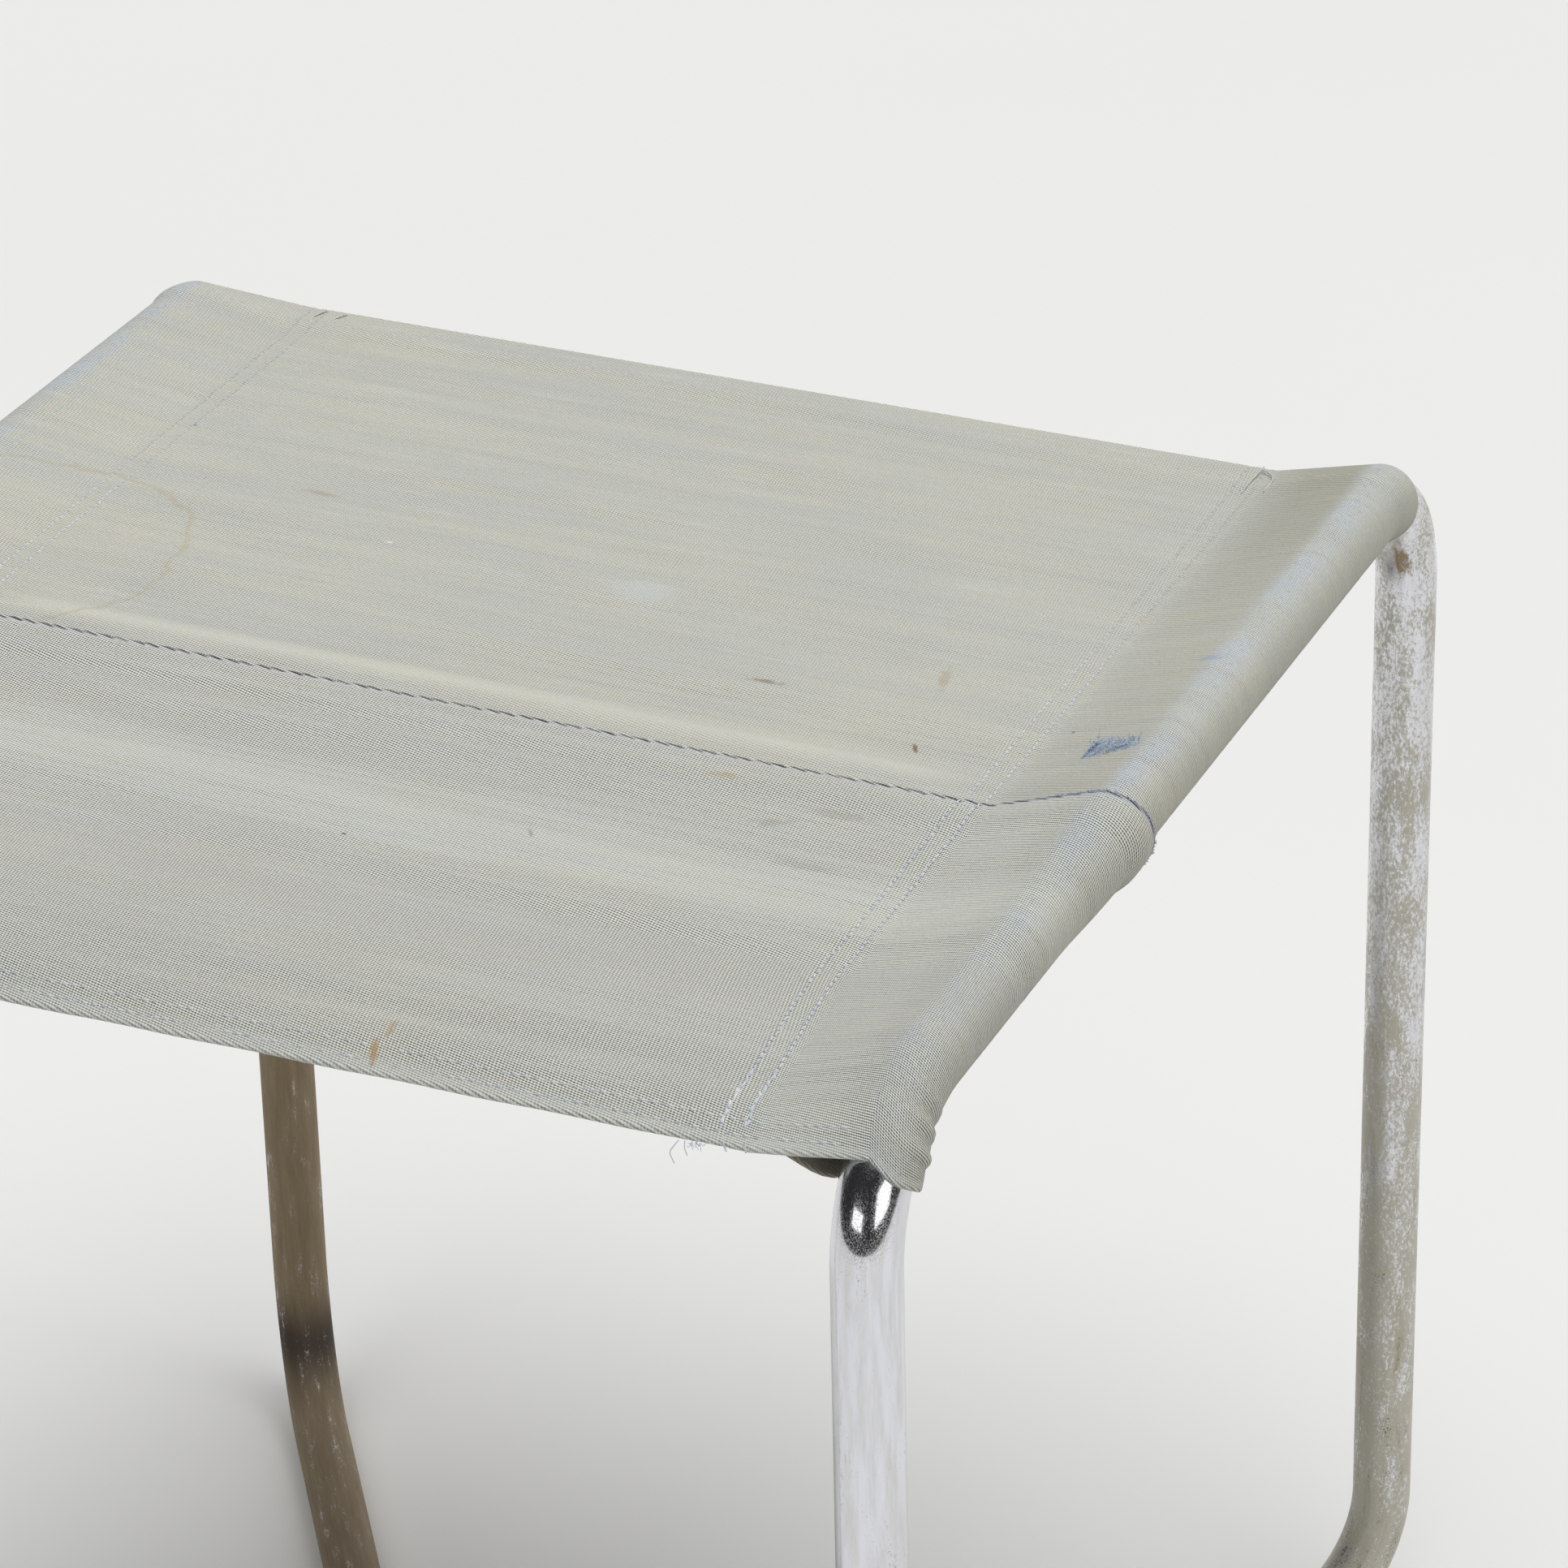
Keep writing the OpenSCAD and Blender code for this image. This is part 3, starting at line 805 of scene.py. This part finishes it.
def cloth_material(name, front):
    """Faded canvas, the front strip's with a clear weave and the rear one's with a worn nap."""
    n = material_nodes(name)
    lap = LAP_EDGE / MM
    at = n.attribute("cloth", "Vector")
    parts = n.put("SeparateXYZ", {0: at})
    u, v, inside = parts.outputs
    gap, rib, bead = weave(n, u, v, at)
    crest, shade, show = n.attribute("crest"), n.attribute("shade"), n.attribute("show")

    bands = n.grain(at, (0.005, 0.13, 0), 4.0, 0.6)
    patches = n.grain(at, (0.02, 0.04, 0), 3.0)
    shown = n.line(bands, 1.3, n.times(patches, 0.8))
    shown = n.smooth(shown, 0.78, 1.4, 0.85 if front else 0.65, 1.25)
    rows = n.grain(at, (0.006, 0.45, 0), 2.0, 0.6)
    shown = n.times(shown, n.smooth(rows, 0.42, 0.66, 0.9, 1.3))
    shown = n.calc("MINIMUM", n.times(shown, show), 0.95)
    # painted shade in the gaps between the threads
    dark = n.times(gap, shown)

    streak = n.grain(at, (0.009, 0.10, 0), 5.0, 0.62)
    cloud = n.grain(at, (0.012, 0.02, 0), 3.0)
    warm = n.smooth(n.plus(streak, n.times(cloud, 0.6)), 0.62, 1.0)
    if front:
        colour = n.blend(warm, rgb(205, 208, 204), rgb(209, 210, 199))
    else:
        colour = n.blend(warm, rgb(194, 197, 190), rgb(203, 202, 189))
    pale = n.smooth(n.grain(at, (0.02, 0.16, 0), 4.0, 0.7), 0.52, 0.75)
    tint = n.smooth(n.grain(at, (0.05, 0.03, 0), 3.0, 0.6), 0.40, 0.62, 0.2, 0.85)
    fleck = n.grain(at, (0.55, 0.9, 0), 2.0, 0.7)
    grain = n.noise(at, 1.1, 4.0, 0.85)
    specks = n.smooth(n.grain(at, (0.8, 0.35, 0), 4.0, 0.75), 0.54, 0.70)
    dyed = n.times(specks, n.smooth(crest, 0.1, 0.9))
    nap = n.noise(at, 1.6, 3.0, 0.8)
    colour = n.layers(
        colour,
        (n.times(pale, 0.5), (214, 215, 205)),
        (n.times(crest, tint), (193, 202, 214)),
        (n.smooth(fleck, 0.56, 0.75, 0.0, 0.26), (170, 164, 134)),
        (n.smooth(grain, 0.52, 0.30, 0.0, 0.34), (132, 134, 122)),
        (n.times(dyed, 0.6), (128, 148, 180)),
        (n.smooth(nap, 0.40, 0.72, 0.0, 0.34), (236, 236, 227)))
    if not front:
        colour = n.layers(colour, (n.times(n.attribute("cream"), 0.55), (214, 212, 199)))
    # painted highlight on the thread crowns, laid over the painted shade of the gaps
    ridge = n.smooth(n.line(bead, -0.55, n.times(rib, -1)), -0.2, 1.3)
    crown_highlight = n.times(n.times(ridge, shown), 0.55)
    colour = n.layers(colour, (dark, (66, 66, 60)), (crown_highlight, (243, 243, 234)))

    for centre, radii, turn, tint, strength, rough in MARKS:
        far = n.oval(at, centre, radii, turn, rough, n.grain(at, (1, 1, 0), 3.0, 0.6, 0.35))
        colour = n.blend(n.times(n.smooth(far, 1.0, 0.3), strength), colour, rgb(*tint))
    if front:
        worn = n.times(n.smooth(v, lap - 5.0, lap - 3.4), n.smooth(v, lap - 1.6, lap - 2.6))
        fuzz = n.times(n.attribute("fuzz"), n.smooth(nap, 0.3, 0.55, 0.35, 1.0))
        strength = n.smooth(n.grain(at, (0.05, 0, 0), 3.0, 0.7), 0.3, 0.6, 0.45, 1.0)
        strength = n.times(strength, n.smooth(v, lap + 0.9, lap + 0.3))
        # painted shadow in the gap along the folded edge
        cut = n.times(slit_shadows(n, u, v), strength)
        colour = n.layers(colour, (n.times(worn, 0.5), (196, 198, 203)),
                          (fuzz, (112, 124, 150)), (cut, (48, 46, 42)))
        first = LAP_EDGE - MM
    else:
        colour = ring_stain(n, at, colour)
        first = LAP_EDGE + MM
    clear = n.smooth(v, FRONT_EDGE / MM + 14.0, FRONT_EDGE / MM + 24.0)
    holes = n.times(sewn_holes(n, u, v, first), clear)
    # painted shade in the needle holes
    colour = n.layers(colour, (n.times(holes, 0.5 if front else 0.14), (70, 78, 88)))
    colour = n.blend(shade, colour, n.blend(1.0, colour, rgb(220, 216, 204), "MULTIPLY"))
    # painted shade: the cloth's inner face gets a dark colour, darker still in the weave's gaps
    shaded_lining = n.blend(patches, rgb(112, 110, 92), rgb(140, 141, 124))
    shaded_lining = n.blend(n.times(gap, 0.5), shaded_lining, rgb(60, 60, 50))
    colour = n.blend(inside, colour, shaded_lining)
    # painted shade: the under parts of the sleeves and the cloth under each rail are darkened in
    # the colour
    painted_under_shade = n.times(n.attribute("under_shade"), n.smooth(patches, 0.3, 0.6, 0.6, 1.0))
    colour = n.blend(painted_under_shade, colour, n.blend(1.0, colour, rgb(150, 138, 112), "MULTIPLY"))

    fluff = n.times(n.noise(at, 2.4, 2.0, 0.7), 0.35 if front else 0.6)
    height = n.minus(fluff, n.times(gap, 0.9))
    height = n.line(rib, -0.25, height)
    height = n.minus(height, holes)
    sheen = {"Sheen Weight": 0.12, "Sheen Roughness": 0.6, "Specular IOR Level": 0.15}
    return n.finish(colour, 0.93, sheen, height, 0.16 * MM, 0.8)


def ring_stain(n, at, colour):
    """The thin tan line that a dried puddle left near the left rail."""
    grain = n.grain(at, (1, 1, 0), 3.0, 0.55, 0.05)
    far = n.oval(at, (-175, 3), (54, 57), 0.0, 0.15, grain)
    line = n.times(n.smooth(far, 0.965, 0.99), n.smooth(far, 1.03, 0.995))
    return n.layers(colour, (n.times(line, 0.28), (182, 162, 118)),
                    (n.times(n.smooth(far, 1.0, 0.6), 0.10), (214, 205, 180)))


MARKS = [
    # centre (mm across, mm from front to rear), radii, turn, colour, strength, roughness
    ((142, -18.5), (1.2, 4), 0.5, (120, 96, 66), 0.85, 0.5),
    ((133, 27), (2.5, 10), 0.2, (168, 142, 112), 0.35, 0.8),
    ((84.5, 4.5), (7, 1.6), 0, (130, 104, 70), 0.6, 0.9),
    ((67, -228), (1.6, 6.5), 0.22, (172, 140, 88), 0.75, 0.95),
    ((68.3, -218.5), (1.4, 4), 0.05, (176, 148, 100), 0.6, 0.95),
    ((98.5, -59), (7, 2.2), 0, (176, 156, 124), 0.5, 0.8),
    ((139, -68), (14, 3.5), 0, (150, 146, 132), 0.35, 0.9),
    ((122, -79), (8, 3), 0.3, (152, 148, 134), 0.35, 0.9),
    ((141, -98), (14, 3), 0, (150, 146, 132), 0.3, 0.9),
    ((25, 47), (14, 10), 0.1, (206, 212, 214), 0.35, 0.4),
    ((211, 50), (7, 2.2), 0, (140, 165, 196), 0.45, 0.7),
    ((-103, 74), (9, 2), 0, (160, 140, 104), 0.4, 0.8),
    ((-64.5, 48), (1.8, 0.8), 0, (238, 238, 232), 0.8, 0.3),
    ((-167, 104.5), (1, 1), 0, (110, 140, 186), 0.8, 0.3),
    ((60, -110), (1, 3.5), 0.6, (150, 140, 116), 0.6, 0.5),
    ((10, -130), (1.2, 1), 0, (120, 100, 80), 0.8, 0.4),
    ((197.5, -9), (5.5, 9), -0.05, (164, 180, 202), 0.95, 0.35),
    ((205.5, -9.5), (7.5, 5), 0.05, (168, 184, 206), 0.95, 0.35),
    ((195.3, -9.5), (1.3, 8.5), -0.13, (86, 108, 152), 0.9, 0.4),
    ((204.6, -10.8), (4.6, 1.1), 0.50, (50, 62, 96), 0.95, 0.3),
    ((183.2, 5.5), (0.9, 0.9), 0, (104, 80, 66), 0.8, 0.3),
]


def chrome_material():
    n = material_nodes("worn_chrome")
    at = n.attribute("along", "Vector")
    wear, mottled, burnt = n.attribute("wear"), n.attribute("mottle"), n.attribute("burnt")
    streaks = n.grain(at, (0.33, 0.33, 0.035), 6.0, 0.68)
    patches = n.grain(at, (0.22, 0.22, 0.09), 5.0, 0.62)
    fine = n.grain(at, (1.6, 1.6, 0.7), 4.0, 0.72)
    total = n.line(streaks, 0.45, n.times(patches, 0.35))
    total = n.line(fine, 0.35, total)
    total = n.line(wear, 0.34, total)
    rust = n.smooth(total, 0.70, 0.84)

    lichen = n.grain(at, (1.0, 1.0, 0.55), 6.0, 0.80)
    clusters = n.grain(at, (0.10, 0.10, 0.035), 3.0, 0.6)
    tan = n.line(clusters, 0.55, lichen)
    tan = n.line(mottled, 0.22, tan)
    tan = n.smooth(tan, 0.83, 1.0)

    specks = n.grain(at, (2.2, 2.2, 1.5), 3.0, 0.8)
    rare = n.grain(at, (0.12, 0.12, 0.05), 3.0, 0.6)
    pits = n.line(rare, 0.5, specks)
    pits = n.smooth(n.line(mottled, 0.05, pits), 0.93, 1.02)
    scratches = n.grain(at, (5.0, 5.0, 0.35), 2.0, 0.6)
    dusty = n.grain(at, (3.4, 3.4, 2.4), 3.0, 0.8)

    colour = n.blend(n.smooth(streaks, 0.35, 0.7), rgb(224, 225, 231), rgb(208, 208, 208))
    colour = n.blend(n.times(tan, 0.7), colour,
                     n.blend(fine, rgb(146, 138, 106), rgb(188, 182, 156)))
    brown = n.blend(streaks, rgb(176, 160, 132), rgb(120, 98, 70))
    brown = n.blend(n.times(burnt, 0.9), brown, rgb(58, 48, 42))
    colour = n.blend(rust, colour, brown)
    colour = n.blend(pits, colour, rgb(74, 62, 50))
    cover = n.calc("MAXIMUM", n.calc("MAXIMUM", rust, pits), n.times(tan, 0.75))
    metal = n.minus(1.0, n.times(cover, 0.75))
    rough = n.line(wear, 0.22, n.smooth(dusty, 0.46, 0.68, 0.05, 0.22))
    rough = n.line(cover, 0.4, rough)
    height = n.line(cover, 0.6, n.times(scratches, 0.25))
    height = n.line(n.smooth(dusty, 0.5, 0.7), 0.34, height)
    height = n.minus(height, pits)
    return n.finish(colour, rough, {"Metallic": metal}, height, 0.05 * MM, 0.5)


def zinc_material():
    n = material_nodes("dull_zinc")
    at = n.place()
    broad = n.noise(at, 120.0, 4.0, 0.6)
    grain = n.noise(at, 900.0, 3.0, 0.7)
    stain = n.smooth(n.line(grain, 0.3, broad), 0.62, 0.8)
    colour = n.blend(broad, rgb(150, 150, 148), rgb(190, 190, 186))
    colour = n.blend(n.times(stain, 0.7), colour, rgb(122, 98, 70))
    rough = n.smooth(grain, 0.3, 0.7, 0.3, 0.55)
    metal = n.minus(1.0, n.times(stain, 0.6))
    return n.finish(colour, rough, {"Metallic": metal}, grain, 0.04 * MM, 0.5)


def thread_material(name, pale, deep, dulled=0.0):
    n = material_nodes(name)
    at = n.place()
    tone = n.noise(at, 260.0, 3.0, 0.7)
    twist = n.noise(at, 3200.0, 2.0, 0.6)
    colour = n.blend(n.smooth(tone, 0.35, 0.65), pale, deep)
    colour = n.blend(n.smooth(twist, 0.3, 0.8, 0.0, 0.4), colour, rgb(232, 234, 236))
    to_rear = n.put("SeparateXYZ", {0: at}).outputs["Y"]
    dull = n.smooth(to_rear, 20 * MM, 120 * MM, 0.0, dulled)
    colour = n.blend(dull, colour, rgb(190, 192, 184))
    return n.finish(colour, 0.85, {"Specular IOR Level": 0.2}, twist, 0.05 * MM, 0.6)


def floor_material():
    n = material_nodes("studio_floor")
    at = n.place()
    broad = n.noise(at, 1.3, 3.0)
    grain = n.noise(at, 160.0, 2.0)
    colour = n.blend(broad, rgb(232, 232, 231), rgb(236, 236, 235))
    return n.finish(colour, 0.8, {"Specular IOR Level": 0.2}, grain, 0.05 * MM, 0.3)


# ---------------- studio

FLOOR_R = 3.0
FLOOR_BACK = 0.5                            # how far the floor's middle lies behind the stool
ROOM_DARK = 0.03
CEILING_LIGHT = 0.90
BACKDROP_LIGHT = 0.70
PALE_BACKGROUND = 0.785
SOFTBOX_FAR = 3.0


def make_floor():
    rings, spokes = 24, 96
    points = [(0, FLOOR_BACK, 0)]
    for k in range(1, rings + 1):
        r = FLOOR_R * k / rings
        for j in range(spokes):
            a = TAU * j / spokes
            points.append((r * math.cos(a), r * math.sin(a) + FLOOR_BACK, 0))
    faces = [(0, 1 + j, 1 + (j + 1) % spokes) for j in range(spokes)]
    faces += grid_faces(rings, spokes, 1, closed=True, flip=True)
    mesh = bpy.data.meshes.new("floor")
    mesh.from_pydata(points, [], faces)
    mesh.materials.append(floor_material())
    floor = add_object("floor", mesh)


def make_world():
    """A dim room with a pale ceiling and a pale backdrop behind, which the metal mirrors."""
    n = Nodes(bpy.data.worlds.new("studio"))
    bpy.context.scene.world = n.owner
    parts = n.put("SeparateXYZ", {0: n.place("Generated")})
    ceiling = n.smooth(parts.outputs["Z"], 0.62, 0.86, ROOM_DARK, CEILING_LIGHT)
    backdrop = n.smooth(parts.outputs["Y"], 0.25, 0.6, ROOM_DARK, BACKDROP_LIGHT)
    seen = n.put("LightPath", {}).outputs["Is Camera Ray"]
    direct = n.smooth(seen, 0.0, 1.0, 0.0, PALE_BACKGROUND)
    strength = n.calc("MAXIMUM", n.calc("MAXIMUM", ceiling, backdrop), direct)
    light = n.put("Background", {"Color": (1, 1, 1, 1), "Strength": strength})
    n.put("OutputWorld", {"Surface": light.outputs[0]})


def bearing(azimuth, elevation, distance):
    """A place round the stool. Azimuth 0 is in front of it, and 90 to its right."""
    a, e = math.radians(azimuth), math.radians(elevation)
    return Vector((math.sin(a) * math.cos(e), -math.cos(a) * math.cos(e), math.sin(e))) * distance


def hang(light, place, heading):
    lamp = add_object(light.name, light)
    lamp.location = place
    lamp.rotation_mode = "QUATERNION"
    lamp.rotation_quaternion = heading.to_track_quat("-Z", "Y")


def make_lights():
    aim = Vector((0.1, -0.1, 0.42))
    for name, azimuth, elevation, size, power in (
            ("front_softbox", -15, 9, (1.7, 0.55), 5),
            ("right_softbox", 54, 13, (1.9, 1.1), 12)):
        light = bpy.data.lights.new(name, "AREA")
        light.shape = "RECTANGLE"
        light.size, light.size_y = size
        light.energy = power
        place = aim + bearing(azimuth, elevation, SOFTBOX_FAR)
        hang(light, place, aim - place)
    sun = bpy.data.lights.new("overhead_light", "SUN")
    sun.energy = 1.5
    sun.angle = math.radians(46)
    hang(sun, (0, 0, 0), Vector((-0.16, 0.11, -1)))


# ---------------- the stool

def make_frame(chrome):
    points, headings = half_frame_path()
    front = (points * (1, -1, 1), headings * (1, -1, 1))
    for name, (p, h), rear in (("rear_tube", (points, headings), True),
                               ("front_tube", front, False)):
        piece, every = hollow_tube(name, p, h, chrome, "frame_chrome")
        for key, values in frame_wear(every, rear).items():
            give(piece, key, values)
        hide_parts(name.replace("_tube", "_frame_tube"))


def make_seat(front_cloth, rear_cloth):
    def front_lift(y):
        return LAYER * smoothstep(y, LAP_EDGE - LAP_W - 38 * MM, LAP_EDGE - LAP_W + 1 * MM)

    hem_top = UNDER_ROWS + FOLD_ROWS + 6    # a row on the upper layer of the first hem
    front = Strip(front_rows(), hem_top, front_lift, front_shape)
    rear = Strip(rear_rows(), hem_top, np.zeros_like, rear_shape)
    front_piece = front.piece("front_strip", front_cloth, "seat_cloth", front_look)
    rear_piece = rear.piece("rear_strip", rear_cloth, "seat_cloth", rear_look)
    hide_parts("front_seat_strip")
    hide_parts("rear_seat_strip")
    return front, rear, front_piece, rear_piece


def thread_piece(name, lines, material):
    return new_piece(name, *thread_mesh(lines), material, "seat_thread", sharp=80)


def rounded(points):
    """A line through given places in mm, with its corners cut twice."""
    line = np.array(points, float) * MM
    for _ in range(2):
        cut = [line[0]]
        for a, b in zip(line, line[1:]):
            cut += [a * 0.75 + b * 0.25, a * 0.25 + b * 0.75]
        line = np.array(cut + [line[-1]])
    return line


def front_ends():
    """Two curling threads and a tuft under the front hem, and the rows' hanging ends."""
    fine, bold = 0.15 * MM, 0.26 * MM
    lines = [
        (rounded([(160.7, -231.9, 442.4), (159.3, -232.5, 440.4), (158.2, -232.8, 438.7),
                  (158.8, -232.8, 437), (159.6, -232.8, 435.4)]), fine),
        (rounded([(162.5, -231.9, 442.6), (162.5, -232.5, 440.6), (163.5, -232.8, 438.6)]), fine),
        (rounded([(173.9, -232, 446.2), (174.2, -233, 444.6), (175.2, -233.2, 442.6)]), bold),
        (rounded([(180.4, -232, 446.4), (180.5, -233, 444.8), (180.9, -233.2, 443.3)]), bold),
    ]
    rng = np.random.default_rng(17)
    for k in range(16):
        start = np.array((rng.uniform(163.5, 167.5), -232.1, rng.uniform(441.8, 442.8))) * MM
        lines.append((curl(start, (rng.normal(0, 0.5), -0.4, -0.8), 2.2 * MM, 0.5, 100 + k),
                      0.08 * MM))
    return lines


def lying(strip, places):
    """A thread through places on the cloth: mm across, mm to the rear, mm above it."""
    return rounded([strip.at(u * MM, v * MM, h * MM)[0] / MM for u, v, h in places])


def rear_ends(rear):
    """Loose blue threads on the rear hem."""
    fine = 0.26 * MM
    return [
        (lying(rear, [(171.4, 184, 0.2), (172.0, 190, 0.4), (172.4, 196, 0.9),
                      (172.9, 201.5, 1.4)]), fine),
        (lying(rear, [(173.2, 199.5, 1.2), (176.2, 198.2, 1.0), (179.4, 194.6, 0.5),
                      (178.4, 186.5, 0.2)]), fine),
        (lying(rear, [(-170, 196, 0.3), (-168, 201, 0.7), (-166.5, 204, 1.6)]), fine),
        (lying(rear, [(-162, 197, 0.3), (-159.5, 201.5, 0.8), (-159, 204.5, 1.6)]), fine),
    ]


# The worn patch by the right rail, in mm: start and length across, and its front and rear
# edges, each as a start and a rise over that length.
PATCH_U = (193.3, 17.5)
PATCH_LOW, PATCH_HIGH = (-17.0, 5.0), (-0.5, -6.4)
PATCH_FIBRES, FRINGE_FIBRES = 230, 420


def fluff_lines(front, rear):
    """Pale fibres of the worn patch by the right rail, and of the lap's edge over the rail."""
    rng = np.random.default_rng(29)
    lines = []
    for k in range(PATCH_FIBRES):
        along, aside = rng.uniform(0, 1), rng.uniform(0, 1)
        low, high = PATCH_LOW[0] + PATCH_LOW[1] * along, PATCH_HIGH[0] + PATCH_HIGH[1] * along
        u, v = PATCH_U[0] + PATCH_U[1] * along, low + aside * (high - low)
        on_upright = abs(u - 195.3 - 0.13 * (v + 9.5)) < 0.9
        on_slant = abs(v + 10.8 - 0.55 * (u - 204.6)) < 0.9 and u > 200
        if on_upright or on_slant:          # the dark strokes of MARKS stay free
            continue
        start, normal = rear.at(u * MM, v * MM, 0.05 * MM)
        heading = np.array((rng.normal(0.3, 0.7), rng.normal(0.2, 0.8), 0.0)) + normal * 0.2
        lines.append((curl(start, heading, rng.uniform(1.2, 3.2) * MM, 0.3, 200 + k, 7),
                      rng.uniform(0.07, 0.13) * MM))
    for k in range(FRINGE_FIBRES):
        u = JOIN_X + (20 + 48 * rng.uniform() ** 0.8) * MM
        start, normal = front.at(u, LAP_EDGE + rng.uniform(-1.6, 0.3) * MM, 0.0)
        heading = np.array((rng.normal(0, 0.6), rng.normal(0.2, 0.5), 0.0)) + normal * 0.3
        lines.append((curl(start, heading, rng.uniform(0.4, 1.1) * MM, 0.4, 500 + k, 5),
                      rng.uniform(0.06, 0.12) * MM))
    return lines


def make_stitching(front, rear, thread, blue_thread, worn_thread):
    thick, thin = 0.30 * MM, 0.24 * MM
    front_run = LAP_EDGE - FRONT_EDGE - 2 * MM
    rear_run = REAR_EDGE - LAP_EDGE - 2 * MM
    reach = RAIL_X - 6 * MM
    made = {}

    def down(x):
        return lambda s: (x, LAP_EDGE - MM - s)

    def up(x):
        return lambda s: (x, LAP_EDGE + MM + s)

    def cross(v):
        return lambda s: (s - reach, v)

    def both(x, radius, sway, seed):
        lines = stitches(front, down(x), front_run, radius, sway, seed)
        return lines + stitches(rear, up(x), rear_run, radius, sway, seed + 10, 1.05, 0.08)

    for side, label in ((-1, "left"), (1, "right")):
        lines = []
        under_u = front.u[-1] - (SEWN_X[0] - SLEEVE_END_X)
        for k, x in enumerate(SEWN_X):
            lines += both(side * x, thick, 0.45 * MM, 31 + k)
            hem = stitches(front, lambda s: (side * x, FRONT_EDGE + 26 * MM - s), 24 * MM,
                           thick, 0.6 * MM, 81 + k)
            lines += [(line, radius * 1.35) for line, radius in hem]
            lines += both(side * (under_u - (x - SEWN_X[0])), thick, 0.2 * MM, 51 + k)
        if side > 0:
            lines += front_ends()
        made[label] = thread_piece(f"{label}_sleeve_thread", lines, thread)
        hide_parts(f"{label}_sleeve_stitching")

    for key, strip, rows, look, sunk, gone in (
            ("lap_seam", front, [LAP_EDGE - 3 * MM], worn_thread, 1.5, 0.3),
            ("front_hem", front, [FRONT_EDGE + 6 * MM, FRONT_EDGE + 1.2 * MM],
             blue_thread, 0.9, 0.15),
            ("rear_hem", rear, [REAR_EDGE - HEM_W + 1.5 * MM], worn_thread, 1.4, 0.4)):
        lines = []
        for v in rows:
            lines += stitches(strip, cross(v), 2 * reach, thin, 0.25 * MM, 71 + len(made),
                              sunk, gone)
        if key == "rear_hem":
            lines += rear_ends(rear)
        made[key] = thread_piece(f"{key}_thread", lines, look)
        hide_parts(f"{key}_stitching")

    lines = both(-(JOIN_X + 29 * MM), thin, 0.2 * MM, 91)
    made["rail"] = thread_piece("left_rail_thread", lines, blue_thread)
    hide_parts("left_rail_stitching")
    fibre = thread_material("blue_fibre", rgb(188, 198, 212), rgb(130, 148, 180))
    made["fluff"] = thread_piece("worn_fluff", fluff_lines(front, rear), fibre)
    return made


def make_steel(zinc):
    for name in ("left_rail_plug", "right_rail_plug", "rail_plug_screws", "runner_tie_bolt",
                 "runner_tie_nut", "runner_saddle"):
        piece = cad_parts[name]
        piece.data.materials.clear()
        piece.data.materials.append(zinc)


bpy.context.scene.view_settings.view_transform = "Standard"
make_camera()
make_world()
make_lights()
make_floor()
make_frame(chrome_material())
make_steel(zinc_material())
front, rear, front_piece, rear_piece = make_seat(
    cloth_material("front_canvas", True), cloth_material("rear_canvas", False))
threads = make_stitching(
    front, rear,
    thread_material("pale_thread", rgb(222, 224, 227), rgb(190, 198, 212), 0.8),
    thread_material("blue_thread", rgb(202, 206, 212), rgb(178, 188, 204)),
    thread_material("worn_thread", rgb(206, 207, 202), rgb(184, 187, 184)))
